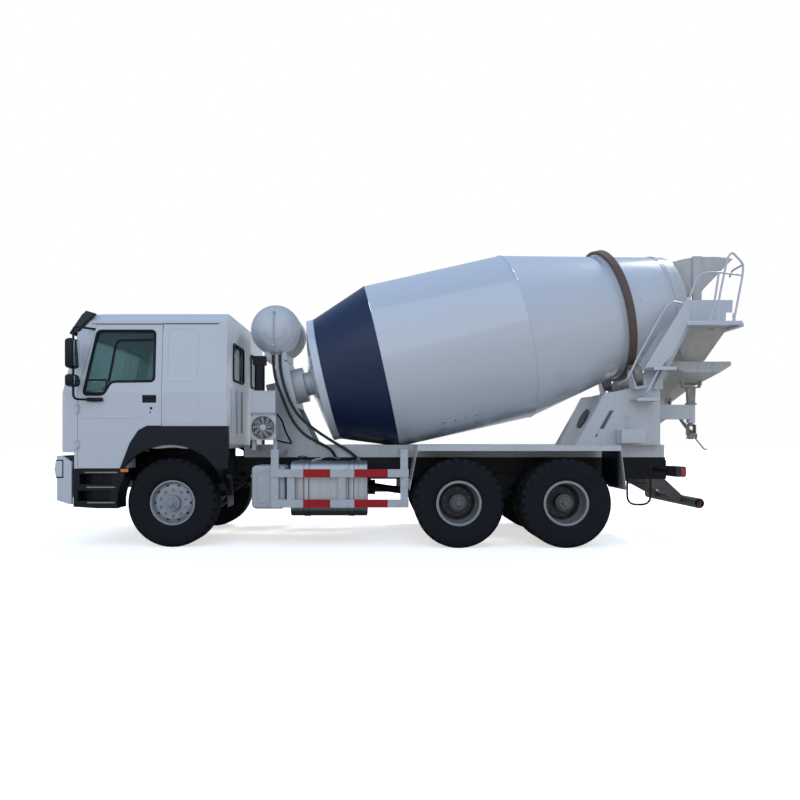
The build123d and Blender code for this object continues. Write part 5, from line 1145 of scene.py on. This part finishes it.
seam = pipe(upright(1.222, -1.118, 0.760, 0.211, 0.273), 0.004, 0.13, closed=True)
settle(seam, "battery_cover_seam", chassis_black, "chassis")
latches = []
for z in (0.62, 0.90):
    latches += [block(at(1.012, -1.125, z), (0.014, 0.10, 0.030), 0.004),
                block(at(1.006, -1.085, z), (0.014, 0.03, 0.05), 0.004)]
latches.append(pipe(upright(1.222, -1.181, 0.760, 0.145, 0.20), 0.005, 0.07, closed=True))
settle(joined(latches), "battery_latches", grey_cover, "chassis")
print("tank radius", round(tank_r, 3), "m")

# %% [markdown]
# The drum is rolled from sheet, so a weld bead runs round it wherever two sheets meet, a
# stiffening ring sits behind its mouth, and low on one side is the bolted hatch for clearing set
# concrete. The hatch is a flat grid wrapped on the drum and then given a thickness.

# %% Drum details
drum_bits = []
for along, radius, bead in ((-0.793, 0.876, 0.006), (0.0, 1.171, 0.006), (1.935, 1.171, 0.006),
                            (4.05, 0.692, 0.012),
                            (3.255, 0.872, 0.006), (3.372, 0.845, 0.006)):
    ring = [on_drum(along, radius, math.tau * k / 96) for k in range(96)]
    drum_bits.append(pipe(ring, bead, 0.001, closed=True))
settle(joined(drum_bits), "drum_welds", drum_paint, "drum")
hatch_along, hatch_turn = 0.87, math.radians(206)
middle, inner = on_drum(hatch_along, 1.20, hatch_turn), on_drum(hatch_along, 0.9, hatch_turn)
bpy.ops.mesh.primitive_grid_add(x_subdivisions=20, y_subdivisions=16, size=1)
hatch = bpy.context.object
outward, forward = (middle - inner).normalized(), Vector(drum_axis).normalized()
turned = Matrix((forward, outward.cross(forward), outward)).transposed().to_4x4()
hatch.matrix_world = Matrix.Translation(middle) @ turned @ Matrix.Diagonal((0.50, 0.40, 1, 1))
bpy.ops.object.transform_apply(location=True, rotation=True, scale=True)
wrap = hatch.modifiers.new("wrap", "SHRINKWRAP")
wrap.target, wrap.offset = nodes["drum"], 0.004
bpy.ops.object.modifier_apply(modifier="wrap")
wall = hatch.modifiers.new("wall", "SOLIDIFY")
wall.thickness, wall.offset = 0.008, 1
bpy.ops.object.modifier_apply(modifier="wall")
settle(hatch, "drum_hatch", drum_paint, "drum")
hatch_bolts = []
bolt_places = [(u * 0.22, v * 0.17) for u in (-1, -0.33, 0.33, 1) for v in (-1, 1)]
bolt_places += [(u * 0.22, 0) for u in (-1, 1)]
for u, v in bolt_places:
    spot = on_drum(hatch_along + u, 1.178, hatch_turn + v / 1.17)
    base = on_drum(hatch_along + u, 1.0, hatch_turn + v / 1.17)
    out = (spot - base).normalized()
    hatch_bolts.append(disc(spot, spot + out * 0.018, 0.013, 0.002, 6))
settle(joined(hatch_bolts), "drum_hatch_bolts", steel_worn, "drum")
print("hatch at", [round(v, 2) for v in middle])

# %% [markdown]
# Round the cab: a deep smoked visor over the windscreen, soft-edged mirror housings on a tube
# loop, a quarter window in each door, grille slats on the lid, and step treads. Each piece rides
# on the body it is screwed to, so the doors carry their mirrors.

# %% Cab trim
ends = [y * 0.117 for y in range(-10, 11)]
foot_z, foot_x = 2.715, at(-1.30, 0, 0).x
outer = [(on_front(y * 0.93, 2.72, 0.085).x - foot_x, y, 0) for y in ends]
inner = [(x + 0.014, y, 0) for x, y, _ in reversed(outer)]
blade = curve_object([[Vector(p) for p in outer + inner]], True, dimensions="2D", fill_mode="BOTH",
                     extrude=0.150, bevel_depth=0.004, bevel_resolution=2)
blade.location = (foot_x + 0.150 * math.sin(math.radians(34)), 0, foot_z + 0.150 * math.cos(math.radians(34)))
blade.rotation_euler.y = math.radians(34)
cheek_profile = [(-1.262, 2.722), (-1.076, 2.990), (-0.940, 2.950), (-1.155, 2.722)]
visor_parts = [blade]
visor_parts += [plate(cheek_profile, s * 1.176, 0.036, bend=0.02, edge=0.006) for s in (LEFT, RIGHT)]
visor_parts += [block(at(-1.08, y, 2.930), (0.20, 0.035, 0.03), 0.008) for y in (-0.7, 0, 0.7)]
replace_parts(settle(joined(visor_parts), "visor_blade", visor_smoke, "cab"), "sun_visor")
for side_name, s in SIDES:
    body = f"door_{side_name}"
    y_in, y_out = s * 1.155, s * 1.400
    shells = [block(at(-1.135, s * 1.420, 2.415), (0.118, 0.196, 0.368), 0.042),
              block(at(-1.135, s * 1.418, 2.085), (0.118, 0.188, 0.152), 0.036),
              pipe([at(-0.945, y_in, 2.755), at(-1.130, y_out, 2.755), at(-1.130, y_out, 1.860),
                    at(-0.945, s * 1.225, 1.860)], 0.014, 0.06),
              block(at(-0.945, s * 1.150, 2.755), (0.095, 0.035, 0.055), 0.010),
              block(at(-0.945, s * 1.240, 1.860), (0.095, 0.040, 0.055), 0.012)]
    shell = settle(joined(shells), f"mirror_shell_{side_name}", plastic_black, body)
    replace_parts(shell, f"mirror_{side_name}")
    faces = [block(at(-1.0755, s * 1.420, 2.415), (0.005, 0.150, 0.310), 0.002),
             block(at(-1.0755, s * 1.418, 2.085), (0.005, 0.145, 0.105), 0.002)]
    settle(joined(faces), f"mirror_face_{side_name}", mirror_silver, body)
    corners = rounded([(-1.065, 0, 1.945), (-0.815, 0, 1.945), (-0.785, 0, 2.110), (-1.035, 0, 2.110)], 0.035,
                      4, closed=True)
    settle(pipe(on_skin([(p.x, p.z) for p in corners], s, 0.003), 0.010, 0.001, closed=True),
           f"quarter_rubber_{side_name}", rubber_black, body)
    treads = [block(at(-0.86, s * 1.232, z), (long, 0.020, 0.018), 0.004)
              for z, long in ((0.950, 0.41), (0.765, 0.36), (0.572, 0.35))]
    settle(joined(treads), f"step_treads_{side_name}", steel_worn, "chassis")
slats = [block(at(-1.446, 0, z), (0.030, 1.78, 0.022), 0.008) for z in (1.230, 1.310, 1.390, 1.470, 1.550)]
slats += [block(at(-1.444, s * 0.89, 1.39), (0.028, 0.03, 0.345), 0.008) for s in (LEFT, RIGHT)]
settle(joined(slats), "grille_slats", cab_white, "front_lid")
# Near-black strips behind the slats fill the grille's gaps: painted shade.
dark = [block(at(-1.433, 0, z), (0.012, 1.70, 0.040), 0.002) for z in (1.27, 1.35, 1.43, 1.51)]
settle(joined(dark), "grille_gap_shade", plastic_black, "front_lid")
mesh_bars = [block(at(-1.470, 0, 0.760 + k * 0.03), (0.012, 1.08, 0.008), 0.002) for k in (-1, 0, 1)]
mesh_bars += [block(at(-1.470, k * 0.108, 0.760), (0.012, 0.008, 0.112), 0.002) for k in range(-4, 5)]
# The black plate behind the bars is painted shade behind the mesh.
mesh_bars.append(block(at(-1.452, 0, 0.760), (0.010, 1.11, 0.128), 0.002))
settle(joined(mesh_bars), "bumper_mesh", plastic_black, "chassis")
print("mirrors, quarter windows, steps and grille")

# %% [markdown]
# The cab's rear wall is pressed with ribs, and its two windows sit in rubber.

# %% Cab rear wall
def on_rear(y, z, proud=0.0):
    place = first_hit(("cab_shell", "cab_glass"), (axle_x + 2.0, y, z), (-1, 0, 0))
    return Vector((place.x + proud, y, z))


rear_rubber = []
for s in (LEFT, RIGHT):
    ring = rounded([(0, s * 0.56 + u, 2.38 + v) for u, v in ((-0.31, -0.24), (0.31, -0.24), (0.31, 0.24),
                                                             (-0.31, 0.24))], 0.06, 4, closed=True)
    rear_rubber.append(pipe([on_rear(p.y, p.z, 0.002) for p in ring], 0.016, 0.001, closed=True))
settle(joined(rear_rubber), "rear_window_rubber", rubber_black, "cab")
ribs = [pipe([on_rear(y, 1.45, 0.001), on_rear(y, 2.02, 0.001)], 0.012) for y in (-0.95, -0.65, -0.35, 0.35,
                                                                                  0.65, 0.95)]
settle(joined(ribs), "rear_wall_ribs", cab_white, "cab")
print("rear wall at", round(on_rear(0, 1.8).x - axle_x, 3), "m behind the front axle")

# %% [markdown]
# At the rear, sheet gussets tie the stairs and platform to the pedestal, a sheet closes the pedestal's front
# with a black disc of painted shade for its round opening, and a tube hoop hangs below the deck as the first
# step.

# %% Rear sheets and first step
sheets = [plate([(6.75, 2.93), (6.75, 3.25), (7.40, 3.25), (7.39, 3.08), (7.31, 3.08), (7.30, 2.93)], -0.600,
                0.008),
          plate([(6.084, 2.297), (6.631, 3.184), (6.670, 2.931), (6.456, 2.472), (6.303, 2.318)], -0.900,
                0.008),
          plate([(6.082, 2.035), (6.251, 2.343), (6.481, 2.365), (6.481, 2.045)], -0.545, 0.010),
          plate([(6.082, 2.035), (6.251, 2.343), (6.481, 2.365), (6.481, 2.045)], 0.545, 0.010)]
settle(joined(sheets), "rear_gussets", mixer_white, "chassis")
cover = block(at(5.50, 0, 1.63), (0.010, 1.020, 0.78), 0.002, (0, math.atan2(0.4, 0.77), 0))
settle(cover, "pedestal_front_sheet", mixer_white, "chassis")
way = Vector((0.887, 0, -0.461))
# The round opening is a near-black disc on the sheet: painted shade inside the pedestal.
opening_shade = disc(at(5.49, -0.22, 1.66) - way * 0.002, at(5.49, -0.22, 1.66) - way * 0.008, 0.15, 0.002, 40)
settle(opening_shade, "pedestal_opening_shade", chassis_black, "chassis")
hoop = [at(5.82, -1.00, 1.02), at(5.82, -1.00, 0.525), at(6.12, -1.00, 0.525), at(6.12, -1.00, 1.02)]
foot_step = [pipe(hoop, 0.013, 0.12), block(at(5.97, -1.00, 0.80), (0.29, 0.05, 0.012), 0.004)]
settle(joined(foot_step), "hoop_step", chassis_black, "chassis")
gear = [block(at(5.995, -0.648, 1.405), (0.34, 0.020, 0.20), 0.006),
        block(at(6.10, -0.655, 1.44), (0.05, 0.02, 0.04), 0.006),
        disc(at(5.90, -0.64, 1.43), at(5.90, -0.672, 1.43), 0.018, 0.003, 20),
        pipe([at(6.00, -0.60, 1.50), at(6.00, -0.60, 1.66)], 0.008),
        disc(at(6.00, -0.60, 1.66), at(6.00, -0.60, 1.70), 0.02, 0.006, 20)]
settle(joined(gear), "rear_control", mixer_white, "chassis")
print("rear sheets and step")
